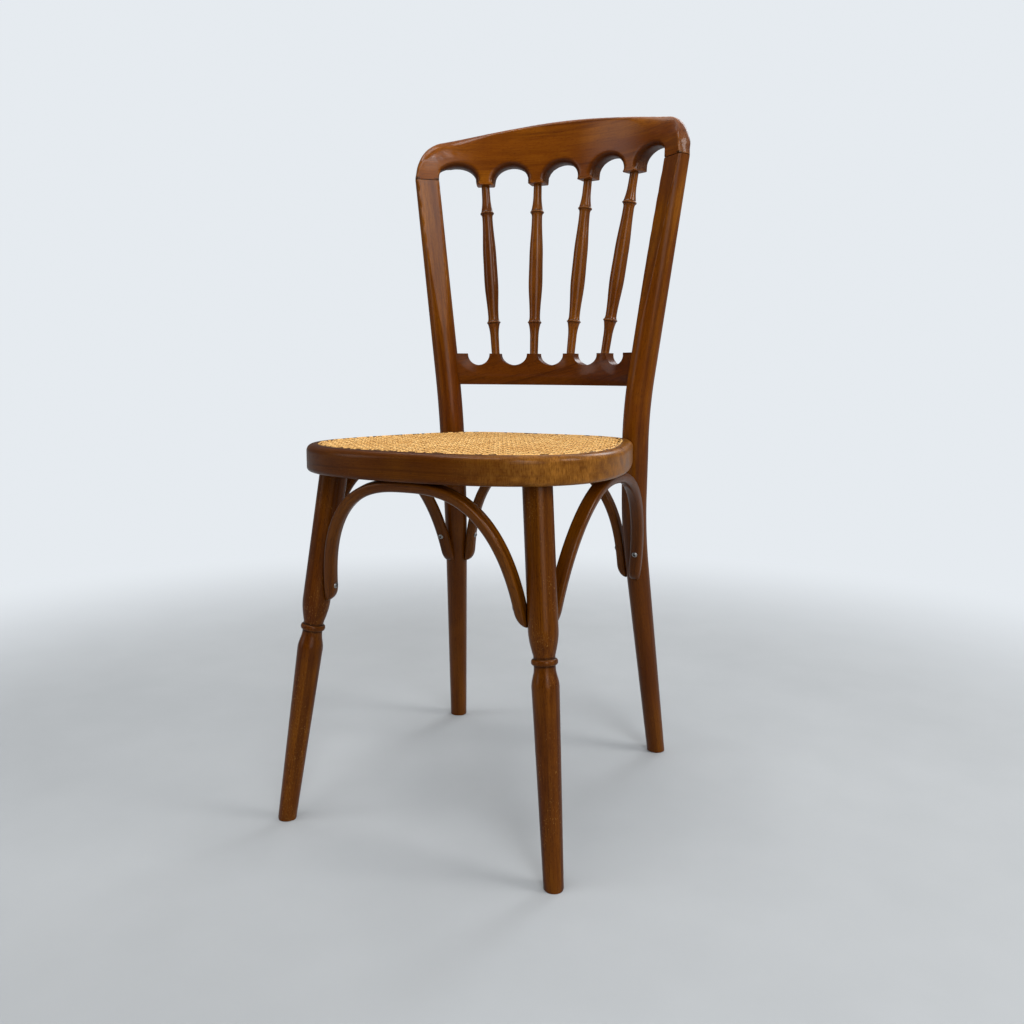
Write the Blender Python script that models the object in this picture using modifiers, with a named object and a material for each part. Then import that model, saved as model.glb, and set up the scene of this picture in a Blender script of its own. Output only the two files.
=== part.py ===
"""Spindle back chair: bentwood uprights and seat ring, turned front legs and spindles, caned seat.

Sizes are in metres, Z is up and the floor is z = 0. The front of the chair faces -Y, and left
and right are as seen from the front, so left is -X. The origin is on the floor, at the middle
of the chair's outline seen from above. A value whose name ends in SHARE is a share of the
size that it follows.
"""

import math

import bmesh
import bpy
from mathutils import Matrix, Vector

# Fits
GAP = 0.0003                        # clearance between pieces that touch
OVERRUN = 0.004                     # how far a cutter runs past what it cuts

# Seat ring, a bent bar with a rebate for the cane and a groove for its spline
SEAT_HEIGHT = 0.469                 # floor to the top of the ring
SEAT_FRONT = 0.2333                 # origin to the front of the ring
SEAT_BACK = 0.1722                  # origin to the back of the ring
SEAT_WAIST = 0.0512                 # origin to where the front and back curves meet
SEAT_HALF_WIDTH = 0.1700            # half the width of the ring there
SEAT_TAPER_SHARE = 0.69             # how much the width changes over the depth of the seat
FRONT_ROUNDING_SHARE = 0.80         # 1 draws an ellipse, 0 a square
BACK_ROUNDING_SHARE = 0.505
RING_WIDTH = 0.048
RING_THICKNESS = 0.033
RING_TOP_ROUND = 0.008
RING_BOTTOM_ROUND = 0.005
RING_INNER_ROUND = 0.003
GROOVE_INSET = 0.0130               # outer side of the ring to the groove
GROOVE_WIDTH = 0.0042
GROOVE_DEPTH = 0.0075
REBATE_DEPTH = 0.0028
CANE_THICKNESS = 0.0024
SPLINE_RISE = 0.0008                # how far the spline stands above the ring
CANE_RIM = 0.0080                   # closed edge of the sheet, round its grid of openings
CANE_GRID = 10                      # openings across the sheet, and from front to back
CANE_OPEN_SHARE = 0.58              # width of an opening against the spacing of the grid
CANE_TRIM_SHARE = 0.40              # an opening cut back further than this at the rim is left out

# Uprights, one bent rod each from the foot to the crest rail
BACK_FOOT_HALF_SPREAD = 0.1687
BACK_FOOT_REACH = 0.2041            # origin to the back feet
BACK_FOOT_DIA = 0.0256
UPRIGHT_DIA = 0.0363                # at the seat
UPRIGHT_TOP_DIA = 0.0350
UPRIGHT_NOTCH = 0.0060              # how deep the rod sits in the seat ring
UPRIGHT_TURN_SHARE = 0.3325         # place along the ring, from 0 at the front to 0.5 at the back
KNEE_DROP = 0.096                   # ring underside to the bend of the back leg
KNEE_SETBACK = 0.006                # how far the bend lies behind the seat joint
KNEE_INSET = 0.0024                 # how far it lies inwards of that joint
WAIST_RISE = 0.037                  # ring top to the bend above the seat
WAIST_ADVANCE = 0.005               # how far the bend lies before the seat joint
BEND_LENGTH = 0.050                 # half the length of each bend
UPRIGHT_TOP_HALF_SPREAD = 0.1882
UPRIGHT_TOP_REACH = 0.1454
FACET_DEPTH = 0.0101                # wood planed off the front of the rod at the crest joint
FACET_LENGTH = 0.220

# Crest rail, cut from a flat blank and bent to the bow of the back
BACK_RISE = 0.3685                  # seat to the joint between upright and crest rail
CREST_BOW = 0.0653                  # depth of the bow that passes through both uprights
CREST_RISE = 0.0795                 # joint to the peak of the rail
CREST_CORNER_RISE = 0.0462          # joint to the corner of the shoulder, before rounding
CREST_CORNER_RADIUS = 0.046
CREST_CROWN_SHARE = 0.60            # 0 draws a pointed top, larger values a rounder one
CREST_LEAN = 0.006                  # how far the peak leans back
CREST_FRONT_ROUND = 0.0045
CREST_BACK_ROUND = 0.0150
ARCH_FRONT_ROUND = 0.0065
ARCH_BACK_ROUND = 0.0050
PENDANT_WIDTH = 0.026
PENDANT_DROP = 0.0055               # joint to the underside of the pendants
ARCH_RISE = 0.0255
TOP_PITCH_SHARE = 0.384             # spindle spacing as a share of the half bow
BEVEL_SHARE = 0.5                   # a round bevel, neither flat nor square
CREST_SLICE = 0.0180                # spacing of the edge loops that let the blank bend

# Lower back rail, with scallops between its bosses
RAIL_RISE = 0.1162                  # seat to the top of the bosses
RAIL_DEPTH = 0.0455
RAIL_THICKNESS = 0.020
RAIL_BOW = 0.0447
RAIL_ROUND = 0.0030
BOSS_WIDTH = 0.0158
SCALLOP_DEPTH = 0.0168
END_BLOCK = 0.0120                  # flat beside each upright
BOTTOM_PITCH_SHARE = 0.364
RAIL_TENON_DIA = 0.012
RAIL_TENON_LENGTH = 0.013

# Spindles
SPINDLE_NECK_DIA = 0.0118
SPINDLE_BEAD_DIA = 0.0200
SPINDLE_SHAFT_DIA = 0.0153
SPINDLE_SHOULDER_DIA = 0.0199
SPINDLE_BELLY_DIA = 0.0206
SPINDLE_WAIST_DIA = 0.0156
SPINDLE_BEAD_HEIGHT = 0.0070
SPINDLE_TENON_DIA = 0.0084
SPINDLE_TENON_LENGTH = 0.012
UPPER_BEAD_SHARE = 0.165            # places along the spindle, from its top
SHOULDER_SHARE = 0.430
BELLY_SHARE = 0.570
LOWER_BEAD_SHARE = 0.815

# Front legs
FRONT_FOOT_HALF_SPREAD = 0.1823
FRONT_FOOT_REACH = 0.2141
FRONT_LEG_TURN_SHARE = 0.1011
FRONT_LEG_INSET = 0.0315            # outer side of the ring to the leg's axis
FRONT_LEG_DIA = 0.0336
FRONT_LEG_FOOT_DIA = 0.0222
FRONT_LEG_NECK_DIA = 0.0243
FRONT_LEG_BEAD_DIA = 0.0298
FRONT_LEG_CALF_DIA = 0.0309
FRONT_LEG_BEAD_HEIGHT = 0.0084
BEAD_RISE = 0.2446                  # floor to the middle of the bead
UPPER_SWELL = 0.035                 # bead to the full width above it
LOWER_SWELL = 0.027                 # bead to the full width below it
FRONT_TENON_DIA = 0.022
FRONT_TENON_LENGTH = 0.022

# Arched braces between the legs
BRACE_WIDTH = 0.0170
BRACE_THICKNESS = 0.0130
BRACE_INNER_ROUND = 0.0064
BRACE_OUTER_ROUND = 0.0012
BRACE_TOE = 0.0015                  # thickness left at the tip
BRACE_LET_IN = 0.0010               # planed off the crown so that it seats flat
CROWN_INSET = 0.0165                # outer side of the ring to the crowns
REAR_CROWN_TURN_SHARE = 0.5         # place along the ring of the rear bar's crown
SIDE_CROWN_TURN_SHARE = 0.222
FRONT_TIP_DROP = 0.156              # ring underside to the tips on the front legs
BACK_TIP_DROP = 0.167               # ring underside to the tips on the uprights
FRONT_ARCH_ROUNDING_SHARE = 0.72    # 1 draws an ellipse, 0 a square
SIDE_ARCH_ROUNDING_SHARE = 0.86
REAR_ARCH_ROUNDING_SHARE = 0.74
FRONT_SCREW_RISE = 0.022            # tip to the screw, on the front legs
BACK_SCREW_RISE = 0.042             # tip to the screw, on the uprights

# Fasteners
SCREW_HEAD_DIA = 0.0078
SCREW_HEAD_HEIGHT = 0.0022
SCREW_SHANK_DIA = 0.0038
SCREW_SINK = 0.0006                 # depth of the seat for the screw head
SCREW_BITE = 0.012                  # depth of thread in the piece behind
BOLT_HEAD_DIA = 0.0130
BOLT_HEAD_HEIGHT = 0.0032
BOLT_SHANK_DIA = 0.0060
BOLT_SINK = 0.0030                  # depth of the seat for the bolt head
BOLT_BITE = 0.026
DOWEL_DIA = 0.0090
DOWEL_LENGTH = 0.036

# Facets
RING_STATIONS = 60
OUTLINE_SAMPLES = 720
ROD_SIDES = 16
BEND_STEPS = 7
SPINDLE_SIDES = 12
LEG_SIDES = 18
BRACE_STATIONS = 18
FASTENER_SIDES = 8
SOCKET_SIDES = 12

SIDES = (("left", -1), ("right", 1))

SCREW = (SCREW_HEAD_DIA, SCREW_HEAD_HEIGHT, SCREW_SHANK_DIA)
BOLT = (BOLT_HEAD_DIA, BOLT_HEAD_HEIGHT, BOLT_SHANK_DIA)

# Levels that follow from the sizes above
RING_BOTTOM = SEAT_HEIGHT - RING_THICKNESS
JOINT_HEIGHT = SEAT_HEIGHT + BACK_RISE
RAIL_HEIGHT = SEAT_HEIGHT + RAIL_RISE
UPRIGHT_RADIUS = UPRIGHT_DIA / 2
CREST_THICKNESS = UPRIGHT_TOP_DIA - FACET_DEPTH
FACET_OFFSET = UPRIGHT_TOP_DIA / 2 - FACET_DEPTH
FACET_WIDTH = 2 * math.sqrt((UPRIGHT_TOP_DIA / 2) ** 2 - FACET_OFFSET ** 2)


def clear_scene():
    for old in list(bpy.data.objects):
        bpy.data.objects.remove(old, do_unlink=True)


def make_collection(name):
    collection = bpy.data.collections.new(name)
    bpy.context.scene.collection.children.link(collection)
    return collection


def make_material(name, colour, roughness, metallic=0.0):
    material = bpy.data.materials.new(name)
    material.use_nodes = True
    shader = material.node_tree.nodes["Principled BSDF"]
    shader.inputs["Base Color"].default_value = (*colour, 1.0)
    shader.inputs["Roughness"].default_value = roughness
    shader.inputs["Metallic"].default_value = metallic
    material.diffuse_color = (*colour, 1.0)
    return material


clear_scene()
CHAIR = make_collection("spindle_back_chair")
CUTTERS = make_collection("cutters")
WOOD = make_material("stained_beech", (0.20, 0.068, 0.014), 0.32)
CANE = make_material("woven_cane", (0.75, 0.46, 0.19), 0.55)
STEEL = make_material("screw_steel", (0.30, 0.29, 0.28), 0.40, 1.0)


# Objects and cuts

def add_object(name, data, material, matrix=None):
    """Put a mesh or a curve in the chair's collection as one named piece."""
    piece = bpy.data.objects.new(name, data)
    if matrix is not None:
        piece.matrix_world = matrix
    piece.data.materials.clear()
    piece.data.materials.append(material)
    CHAIR.objects.link(piece)
    bpy.context.view_layer.update()
    return piece


def to_mesh(piece):
    """Replace a piece by its evaluated mesh, with caps and seams welded, at the same place."""
    depsgraph = bpy.context.evaluated_depsgraph_get()
    mesh = bpy.data.meshes.new_from_object(piece.evaluated_get(depsgraph), depsgraph=depsgraph)
    name, matrix, material = piece.name, piece.matrix_world.copy(), piece.active_material
    bpy.data.objects.remove(piece, do_unlink=True)
    shape = bmesh.new()
    shape.from_mesh(mesh)
    bmesh.ops.remove_doubles(shape, verts=shape.verts, dist=GAP / 30)
    bmesh.ops.dissolve_degenerate(shape, edges=shape.edges, dist=GAP / 30)
    bmesh.ops.recalc_face_normals(shape, faces=shape.faces)
    shape.to_mesh(mesh)
    shape.free()
    mesh.name = name
    return add_object(name, mesh, material, matrix)


def smooth(piece, angle=35):
    piece.data.shade_smooth()
    piece.data.set_sharp_from_angle(angle=math.radians(angle))
    return piece


def saw(piece, point, normal):
    """Cut a closed piece flat at a plane and take away the side that the normal points to."""
    to_local = piece.matrix_world.inverted()
    local_point = to_local @ Vector(point)
    local_normal = (to_local.to_3x3() @ Vector(normal)).normalized()
    shape = bmesh.new()
    shape.from_mesh(piece.data)
    geometry = shape.verts[:] + shape.edges[:] + shape.faces[:]
    bmesh.ops.bisect_plane(
        shape, geom=geometry, dist=GAP / 30, plane_co=local_point, plane_no=local_normal,
        clear_outer=True)
    rim = [edge for edge in shape.edges if edge.is_boundary]
    bmesh.ops.holes_fill(shape, edges=rim, sides=0)
    bmesh.ops.recalc_face_normals(shape, faces=shape.faces)
    shape.to_mesh(piece.data)
    shape.free()


def carve(piece, cutter, operation="DIFFERENCE"):
    """Combine a piece with a cutter, which stays in the file as a hidden guide."""
    for collection in list(cutter.users_collection):
        collection.objects.unlink(cutter)
    CUTTERS.objects.link(cutter)
    cutter.hide_render = True
    cutter.display_type = "WIRE"
    boolean = piece.modifiers.new(cutter.name, "BOOLEAN")
    boolean.object = cutter
    boolean.operation = operation
    boolean.solver = "EXACT"


def frame_along(start, direction, upright=Vector((0, 0, 1))):
    """A matrix whose local Z runs along the direction, with its origin at the start."""
    z = Vector(direction).normalized()
    side = Vector(upright)
    if abs(z.dot(side)) > 0.99:
        side = Vector((0, 1, 0))
    x = side.cross(z).normalized()
    y = z.cross(x)
    matrix = Matrix((x, y, z)).transposed().to_4x4()
    matrix.translation = Vector(start)
    return matrix


def rod(name, start, end, radius, sides=SOCKET_SIDES, material=WOOD):
    """A straight round rod between two points."""
    start, end = Vector(start), Vector(end)
    mesh = bpy.data.meshes.new(name)
    shape = bmesh.new()
    bmesh.ops.create_cone(
        shape, cap_ends=True, segments=sides, radius1=radius, radius2=radius,
        depth=(end - start).length)
    shape.to_mesh(mesh)
    shape.free()
    return add_object(name, mesh, material, frame_along((start + end) / 2, end - start))


def bore(pieces, name, start, end, radius, sides=SOCKET_SIDES):
    """A round hole whose flats clear a rod of this radius by the gap."""
    hole = rod(name, start, end, (radius + GAP) / math.cos(math.pi / sides), sides)
    for piece in pieces:
        carve(piece, hole)


def turned(name, profile, sides, material, matrix):
    """A turned piece from (radius, height) points that run down its outer side."""
    mesh = bpy.data.meshes.new(name)
    points = [(radius, 0, height) for radius, height in profile]
    mesh.from_pydata(points, [(i, i + 1) for i in range(len(points) - 1)], [])
    piece = add_object(name, mesh, material, matrix)
    screw = piece.modifiers.new("turning", "SCREW")
    screw.axis = "Z"
    screw.steps = sides
    screw.render_steps = sides
    screw.use_merge_vertices = True
    screw.merge_threshold = 0.00001
    return smooth(to_mesh(piece))


def fillet(centre, radius, start, end, steps):
    """Points along an arc between two angles in degrees."""
    points = []
    for step in range(steps + 1):
        angle = math.radians(start + (end - start) * step / steps)
        points.append((centre[0] + radius * math.cos(angle), centre[1] + radius * math.sin(angle)))
    return points


def swell(start, end, steps):
    """Turning points that leave one radius and reach the next with no corner at either."""
    points = []
    for step in range(1, steps + 1):
        share = step / steps
        ease = (1 - math.cos(math.pi * share)) / 2
        points.append((start[0] + (end[0] - start[0]) * ease, start[1] + (end[1] - start[1]) * share))
    return points


def shoulder_round(start, end, steps):
    """Turning points that leave one radius smoothly and round in to the next."""
    points = []
    for step in range(1, steps + 1):
        share = step / steps
        ease = 1 - math.cos(math.pi / 2 * share)
        points.append((start[0] + (end[0] - start[0]) * ease, start[1] + (end[1] - start[1]) * share))
    return points


def bead(middle, height, radius, top_radius, bottom_radius):
    """A turned ring with a sharp rim, between the radii above and below it."""
    return [
        (top_radius, middle + height / 2),
        (radius - height / 6, middle + height / 5),
        (radius, middle),
        (radius - height / 6, middle - height / 5),
        (bottom_radius, middle - height / 2),
    ]


def plate(name, outline, half_thickness, material, matrix, openings=()):
    """A flat sheet from an outline in its local XY plane, as thick on both sides of it."""
    curve = bpy.data.curves.new(name, "CURVE")
    curve.dimensions = "2D"
    curve.fill_mode = "BOTH"
    curve.extrude = half_thickness
    for corners in (outline, *openings):
        line = curve.splines.new("POLY")
        line.points.add(len(corners) - 1)
        for place, (x, y) in zip(line.points, corners):
            place.co = (x, y, 0, 1)
        line.use_cyclic_u = True
    return to_mesh(add_object(name, curve, material, matrix))


def swept(name, points, profile, closed, material, matrix=None):
    """A bar with its own section, bent along points in its local XY plane.

    The section's first value points to the right of the path, and its second up.
    """
    section = bpy.data.curves.new(name + "_section", "CURVE")
    section.dimensions = "2D"
    edge = section.splines.new("POLY")
    edge.points.add(len(profile) - 1)
    for place, (across, up) in zip(edge.points, profile):
        place.co = (across, up, 0, 1)
    edge.use_cyclic_u = True
    guide = bpy.data.objects.new(name + "_section", section)
    CUTTERS.objects.link(guide)

    curve = bpy.data.curves.new(name, "CURVE")
    curve.dimensions = "3D"
    curve.twist_mode = "Z_UP"
    curve.bevel_mode = "OBJECT"
    curve.bevel_object = guide
    curve.use_fill_caps = not closed
    line = curve.splines.new("POLY")
    line.points.add(len(points) - 1)
    for place, point in zip(line.points, points):
        place.co = (point[0], point[1], 0, 1)
    line.use_cyclic_u = closed
    piece = to_mesh(add_object(name, curve, material, matrix))
    bpy.data.objects.remove(guide, do_unlink=True)
    return piece


def blank(name, outline, thickness, material):
    """A flat board from an outline in its XZ plane, with its front face at y = 0."""
    mesh = bpy.data.meshes.new(name)
    shape = bmesh.new()
    corners = [shape.verts.new((s, 0, z)) for s, z in outline]
    front = shape.faces.new(corners)
    if front.normal.y > 0:
        front.normal_flip()
    pushed = bmesh.ops.extrude_face_region(shape, geom=[front])
    moved = [item for item in pushed["geom"] if isinstance(item, bmesh.types.BMVert)]
    bmesh.ops.translate(shape, verts=moved, vec=(0, thickness, 0))
    bmesh.ops.recalc_face_normals(shape, faces=shape.faces)
    shape.to_mesh(mesh)
    shape.free()
    return add_object(name, mesh, material)


def round_edges(piece, depth, width, steps, chosen):
    """Round those edges of the flat face at this depth whose two ends are chosen."""
    shape = bmesh.new()
    shape.from_mesh(piece.data)
    rim = [
        edge for edge in shape.edges
        if all(abs(vert.co.y - depth) < GAP / 30 for vert in edge.verts)
        and chosen(edge.verts[0].co, edge.verts[1].co)
    ]
    bmesh.ops.bevel(
        shape, geom=rim, offset=width, segments=steps, profile=BEVEL_SHARE, affect="EDGES",
        clamp_overlap=True)
    shape.to_mesh(piece.data)
    shape.free()


def bend(piece, front_radius, centre_y, slice_width, base_height=0.0, lean=0.0):
    """Slice a flat board into strips and wrap its front face round an upright arc."""
    shape = bmesh.new()
    shape.from_mesh(piece.data)
    reach = max(abs(vert.co.x) for vert in shape.verts)
    count = math.ceil(reach / slice_width)
    for step in range(-count + 1, count):
        place = Vector((reach * step / count, 0, 0))
        geometry = shape.verts[:] + shape.edges[:] + shape.faces[:]
        bmesh.ops.bisect_plane(shape, geom=geometry, plane_co=place, plane_no=(1, 0, 0))
    for vert in shape.verts:
        angle = vert.co.x / front_radius
        distance = front_radius + vert.co.y
        vert.co.x = distance * math.sin(angle)
        vert.co.y = centre_y + distance * math.cos(angle) + lean * (vert.co.z - base_height)
    bmesh.ops.remove_doubles(shape, verts=shape.verts, dist=GAP / 30)
    bmesh.ops.triangulate(shape, faces=shape.faces)
    bmesh.ops.recalc_face_normals(shape, faces=shape.faces)
    shape.to_mesh(piece.data)
    shape.free()


# The seat's outline and the uprights' line, which the other pieces follow

def power(value, exponent):
    return math.copysign(abs(value) ** exponent, value)


def seat_edge(turn):
    """A point on the ring's outer edge, from 0 at the front over 0.25 at the right to 1."""
    angle = 2 * math.pi * turn
    if math.cos(angle) > 0:
        rounding, reach = FRONT_ROUNDING_SHARE, SEAT_FRONT + SEAT_WAIST
    else:
        rounding, reach = BACK_ROUNDING_SHARE, SEAT_BACK - SEAT_WAIST
    behind = -power(math.cos(angle), rounding) * reach
    taper = SEAT_TAPER_SHARE * behind / (SEAT_FRONT + SEAT_BACK)
    half_width = SEAT_HALF_WIDTH * (1 - taper) * power(math.sin(angle), rounding)
    return Vector((half_width, SEAT_WAIST + behind))


def seat_normal(turn):
    """The direction out of the ring at a place along it."""
    step = seat_edge(turn + 1 / OUTLINE_SAMPLES) - seat_edge(turn - 1 / OUTLINE_SAMPLES)
    return Vector((step.y, -step.x)).normalized()


def seat_point(turn, inset):
    return seat_edge(turn) - seat_normal(turn) * inset


def ring_stations():
    """Evenly spaced places along the ring's outer edge."""
    dense = [seat_edge(i / OUTLINE_SAMPLES) for i in range(OUTLINE_SAMPLES)]
    dense.append(dense[0])
    lengths = [0.0]
    for here, after in zip(dense, dense[1:]):
        lengths.append(lengths[-1] + (after - here).length)
    points = []
    place = 0
    for station in range(RING_STATIONS):
        wanted = lengths[-1] * station / RING_STATIONS
        while lengths[place + 1] < wanted:
            place += 1
        share = (wanted - lengths[place]) / (lengths[place + 1] - lengths[place])
        points.append(dense[place].lerp(dense[place + 1], share))
    return points


def seat_outline(inset):
    """The ring's stations, all moved the same distance in from the outer edge."""
    stations = ring_stations()
    points = []
    for i, here in enumerate(stations):
        arriving = (here - stations[i - 1]).normalized()
        leaving = (stations[(i + 1) % RING_STATIONS] - here).normalized()
        along = (arriving + leaving).normalized()
        points.append(here - Vector((along.y, -along.x)) * inset)
    return points


def rounded_corners(corners, reach, steps):
    """A line through the first and last corner, with each corner between them bent smoothly."""
    points = [corners[0]]
    for before, corner, after in zip(corners, corners[1:], corners[2:]):
        start = corner + (before - corner).normalized() * reach
        end = corner + (after - corner).normalized() * reach
        for step in range(steps + 1):
            t = step / steps
            points.append(start * (1 - t) ** 2 + corner * 2 * t * (1 - t) + end * t ** 2)
    points.append(corners[-1])
    return points


def upright_line():
    """The right upright's axis from its foot to the crest joint, and where the seat meets it."""
    depth = UPRIGHT_RADIUS - UPRIGHT_NOTCH
    seat = seat_point(UPRIGHT_TURN_SHARE, -depth)
    corners = [
        Vector((BACK_FOOT_HALF_SPREAD, BACK_FOOT_REACH, 0)),
        Vector((seat.x - KNEE_INSET, seat.y + KNEE_SETBACK, RING_BOTTOM - KNEE_DROP)),
        Vector((seat.x, seat.y - WAIST_ADVANCE, SEAT_HEIGHT + WAIST_RISE)),
        Vector((UPRIGHT_TOP_HALF_SPREAD, UPRIGHT_TOP_REACH, JOINT_HEIGHT)),
    ]
    return rounded_corners(corners, BEND_LENGTH, BEND_STEPS)


UPRIGHT_LINE = upright_line()


def upright_at(height, side=1):
    """The centre of an upright at a height."""
    for low, high in zip(UPRIGHT_LINE, UPRIGHT_LINE[1:]):
        if height <= high.z:
            break
    point = low.lerp(high, (height - low.z) / (high.z - low.z))
    return Vector((side * point.x, point.y, height))


def upright_radius(height):
    seat = (SEAT_HEIGHT + RING_BOTTOM) / 2
    if height < seat:
        share = height / seat
        return (BACK_FOOT_DIA + (UPRIGHT_DIA - BACK_FOOT_DIA) * share) / 2
    share = (height - seat) / (JOINT_HEIGHT - seat)
    return (UPRIGHT_DIA + (UPRIGHT_TOP_DIA - UPRIGHT_DIA) * share) / 2


FRONT_LEG_TOP = seat_point(FRONT_LEG_TURN_SHARE, FRONT_LEG_INSET)


def front_leg_at(height, side=1):
    """The centre of a front leg at a height."""
    share = height / RING_BOTTOM
    x = FRONT_FOOT_HALF_SPREAD + (FRONT_LEG_TOP.x - FRONT_FOOT_HALF_SPREAD) * share
    y = -FRONT_FOOT_REACH + (FRONT_LEG_TOP.y + FRONT_FOOT_REACH) * share
    return Vector((side * x, y, height))


def front_leg_radius(height):
    """Half the leg's width, which is the same all the way up beside the braces."""
    return FRONT_LEG_DIA / 2


class Bow:
    """An upright arc across the back that passes through both uprights at one height."""

    def __init__(self, height, depth, front_offset):
        end = upright_at(height)
        self.radius = (end.x ** 2 + depth ** 2) / (2 * depth)
        self.centre_y = end.y + depth - self.radius
        self.front_radius = self.radius - front_offset
        self.half_angle = math.asin(end.x / self.radius)
        self.height = height

    def point(self, angle, behind_front, height):
        distance = self.front_radius + behind_front
        return Vector((distance * math.sin(angle), self.centre_y + distance * math.cos(angle), height))


CREST = Bow(JOINT_HEIGHT, CREST_BOW, FACET_OFFSET)
RAIL = Bow(RAIL_HEIGHT - RAIL_DEPTH / 2, RAIL_BOW, RAIL_THICKNESS / 2)
CREST_LEAN_SLOPE = CREST_LEAN / CREST_RISE
PENDANT_HEIGHT = JOINT_HEIGHT - PENDANT_DROP


def spindle_ends(number):
    """Where a spindle meets the lower rail and the crest rail; number runs from 0 at the left."""
    place = number - 1.5
    low = RAIL.point(place * BOTTOM_PITCH_SHARE * RAIL.half_angle, RAIL_THICKNESS / 2, RAIL_HEIGHT)
    high = CREST.point(place * TOP_PITCH_SHARE * CREST.half_angle, CREST_THICKNESS / 2, PENDANT_HEIGHT)
    high.y -= CREST_LEAN_SLOPE * PENDANT_DROP
    return low, high


# Seat

def ring_section():
    """The ring's section: inset from the outer side, and height above the underside."""
    width, top = RING_WIDTH, RING_THICKNESS
    low, inner, high = RING_BOTTOM_ROUND, RING_INNER_ROUND, RING_TOP_ROUND
    shelf = top - REBATE_DEPTH
    groove_end = GROOVE_INSET + GROOVE_WIDTH
    points = fillet((low, low), low, 180, 270, 2)
    points += fillet((width - inner, inner), inner, 270, 360, 1)
    points += fillet((width - inner, shelf - inner), inner, 0, 90, 1)
    points += [
        (groove_end, shelf), (groove_end, top - GROOVE_DEPTH),
        (GROOVE_INSET, top - GROOVE_DEPTH), (GROOVE_INSET, top),
    ]
    points += fillet((high, top - high), high, 90, 180, 3)
    return points


def build_seat_ring():
    section = [(-inset, height) for inset, height in ring_section()]
    place = Matrix.Translation((0, 0, RING_BOTTOM))
    return smooth(swept("seat_ring", seat_outline(0.0), section, True, WOOD, place), 40)


def share_inside(outline, centre, corner):
    """How much of the way from centre to corner lies inside an outline; below 0 if none does."""
    share = 1.0
    for i, start in enumerate(outline):
        edge = start - outline[i - 1]
        outwards = Vector((edge.y, -edge.x))
        towards = outwards.dot(corner - centre)
        if towards > 0:
            share = min(share, outwards.dot(start - centre) / towards)
    return share


def cane_openings():
    """A grid of openings in place of the holes of the weave, trimmed where it meets the rim."""
    rim = seat_outline(GROOVE_INSET + GROOVE_WIDTH + GAP + CANE_RIM)
    low = Vector((min(point.x for point in rim), min(point.y for point in rim)))
    high = Vector((max(point.x for point in rim), max(point.y for point in rim)))
    pitch = (high - low) / CANE_GRID
    half = pitch * CANE_OPEN_SHARE / 2
    openings = []
    for column in range(CANE_GRID):
        for row in range(CANE_GRID):
            centre = low + pitch / 2 + Vector((pitch.x * column, pitch.y * row))
            corners = [
                centre - half, centre + Vector((half.x, -half.y)),
                centre + half, centre + Vector((-half.x, half.y)),
            ]
            shares = [share_inside(rim, centre, corner) for corner in corners]
            if min(shares) > CANE_TRIM_SHARE:
                pairs = zip(corners, shares)
                openings.append([centre.lerp(corner, share) for corner, share in pairs])
    return openings


def build_cane_panel():
    """The woven sheet, which lies on the rebate inside the groove."""
    outline = seat_outline(GROOVE_INSET + GROOVE_WIDTH + GAP)
    height = SEAT_HEIGHT - REBATE_DEPTH + GAP + CANE_THICKNESS / 2
    place = Matrix.Translation((0, 0, height))
    plate("cane_panel", outline, CANE_THICKNESS / 2, CANE, place, cane_openings())


def build_cane_spline():
    """The strip of split cane that locks the sheet in its groove."""
    middle = -GROOVE_INSET - GROOVE_WIDTH / 2
    half = GROOVE_WIDTH / 2 - GAP
    low = GAP - GROOVE_DEPTH
    section = [
        (middle + half, low), (middle + half, 0), (middle + half / 2, SPLINE_RISE),
        (middle - half / 2, SPLINE_RISE), (middle - half, 0), (middle - half, low),
    ]
    place = Matrix.Translation((0, 0, SEAT_HEIGHT))
    return smooth(swept("cane_spline", seat_outline(0.0), section, True, CANE, place), 60)


# Back

def bent_rod(name, side, clearance):
    """An upright's rod before it is sawn, this much thicker all round."""
    curve = bpy.data.curves.new(name, "CURVE")
    curve.dimensions = "3D"
    curve.bevel_depth = UPRIGHT_RADIUS + clearance
    curve.bevel_resolution = ROD_SIDES // 2 - 2
    curve.use_fill_caps = True
    first, second = UPRIGHT_LINE[0], UPRIGHT_LINE[1]
    before_last, last = UPRIGHT_LINE[-2], UPRIGHT_LINE[-1]
    points = [first + (first - second).normalized() * UPRIGHT_DIA]
    points += UPRIGHT_LINE
    points += [last + (last - before_last).normalized() * UPRIGHT_DIA]
    line = curve.splines.new("POLY")
    line.points.add(len(points) - 1)
    for place, point in zip(line.points, points):
        place.co = (side * point.x, point.y, point.z, 1)
        place.radius = upright_radius(point.z) / UPRIGHT_RADIUS
    return to_mesh(add_object(name, curve, WOOD))


def build_upright(name, side):
    """The bent rod, with its foot sawn level and a flat planed on its front at the top."""
    piece = bent_rod(name, side, 0.0)
    saw(piece, (0, 0, 0), (0, 0, -1))
    saw(piece, (0, 0, JOINT_HEIGHT - GAP / 2), (0, 0, 1))

    outward = Vector((side * math.sin(CREST.half_angle), math.cos(CREST.half_angle), 0))
    top = upright_at(JOINT_HEIGHT, side) - outward * FACET_OFFSET
    low_height = JOINT_HEIGHT - FACET_LENGTH
    bottom = upright_at(low_height, side) - outward * upright_radius(low_height)
    across = outward.cross(Vector((0, 0, 1)))
    normal = across.cross(top - bottom).normalized()
    if normal.dot(outward) > 0:
        normal.negate()
    saw(piece, top, normal)
    return smooth(piece, 30)


def arch(start, end, rise, steps):
    """Points over a round arch from one foot to the other, without its feet."""
    points = []
    for step in range(1, steps):
        angle = math.pi * step / steps
        share = (1 - math.cos(angle)) / 2
        base = start[1] + (end[1] - start[1]) * share
        points.append((start[0] + (end[0] - start[0]) * share, base + rise * math.sin(angle)))
    return points


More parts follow.
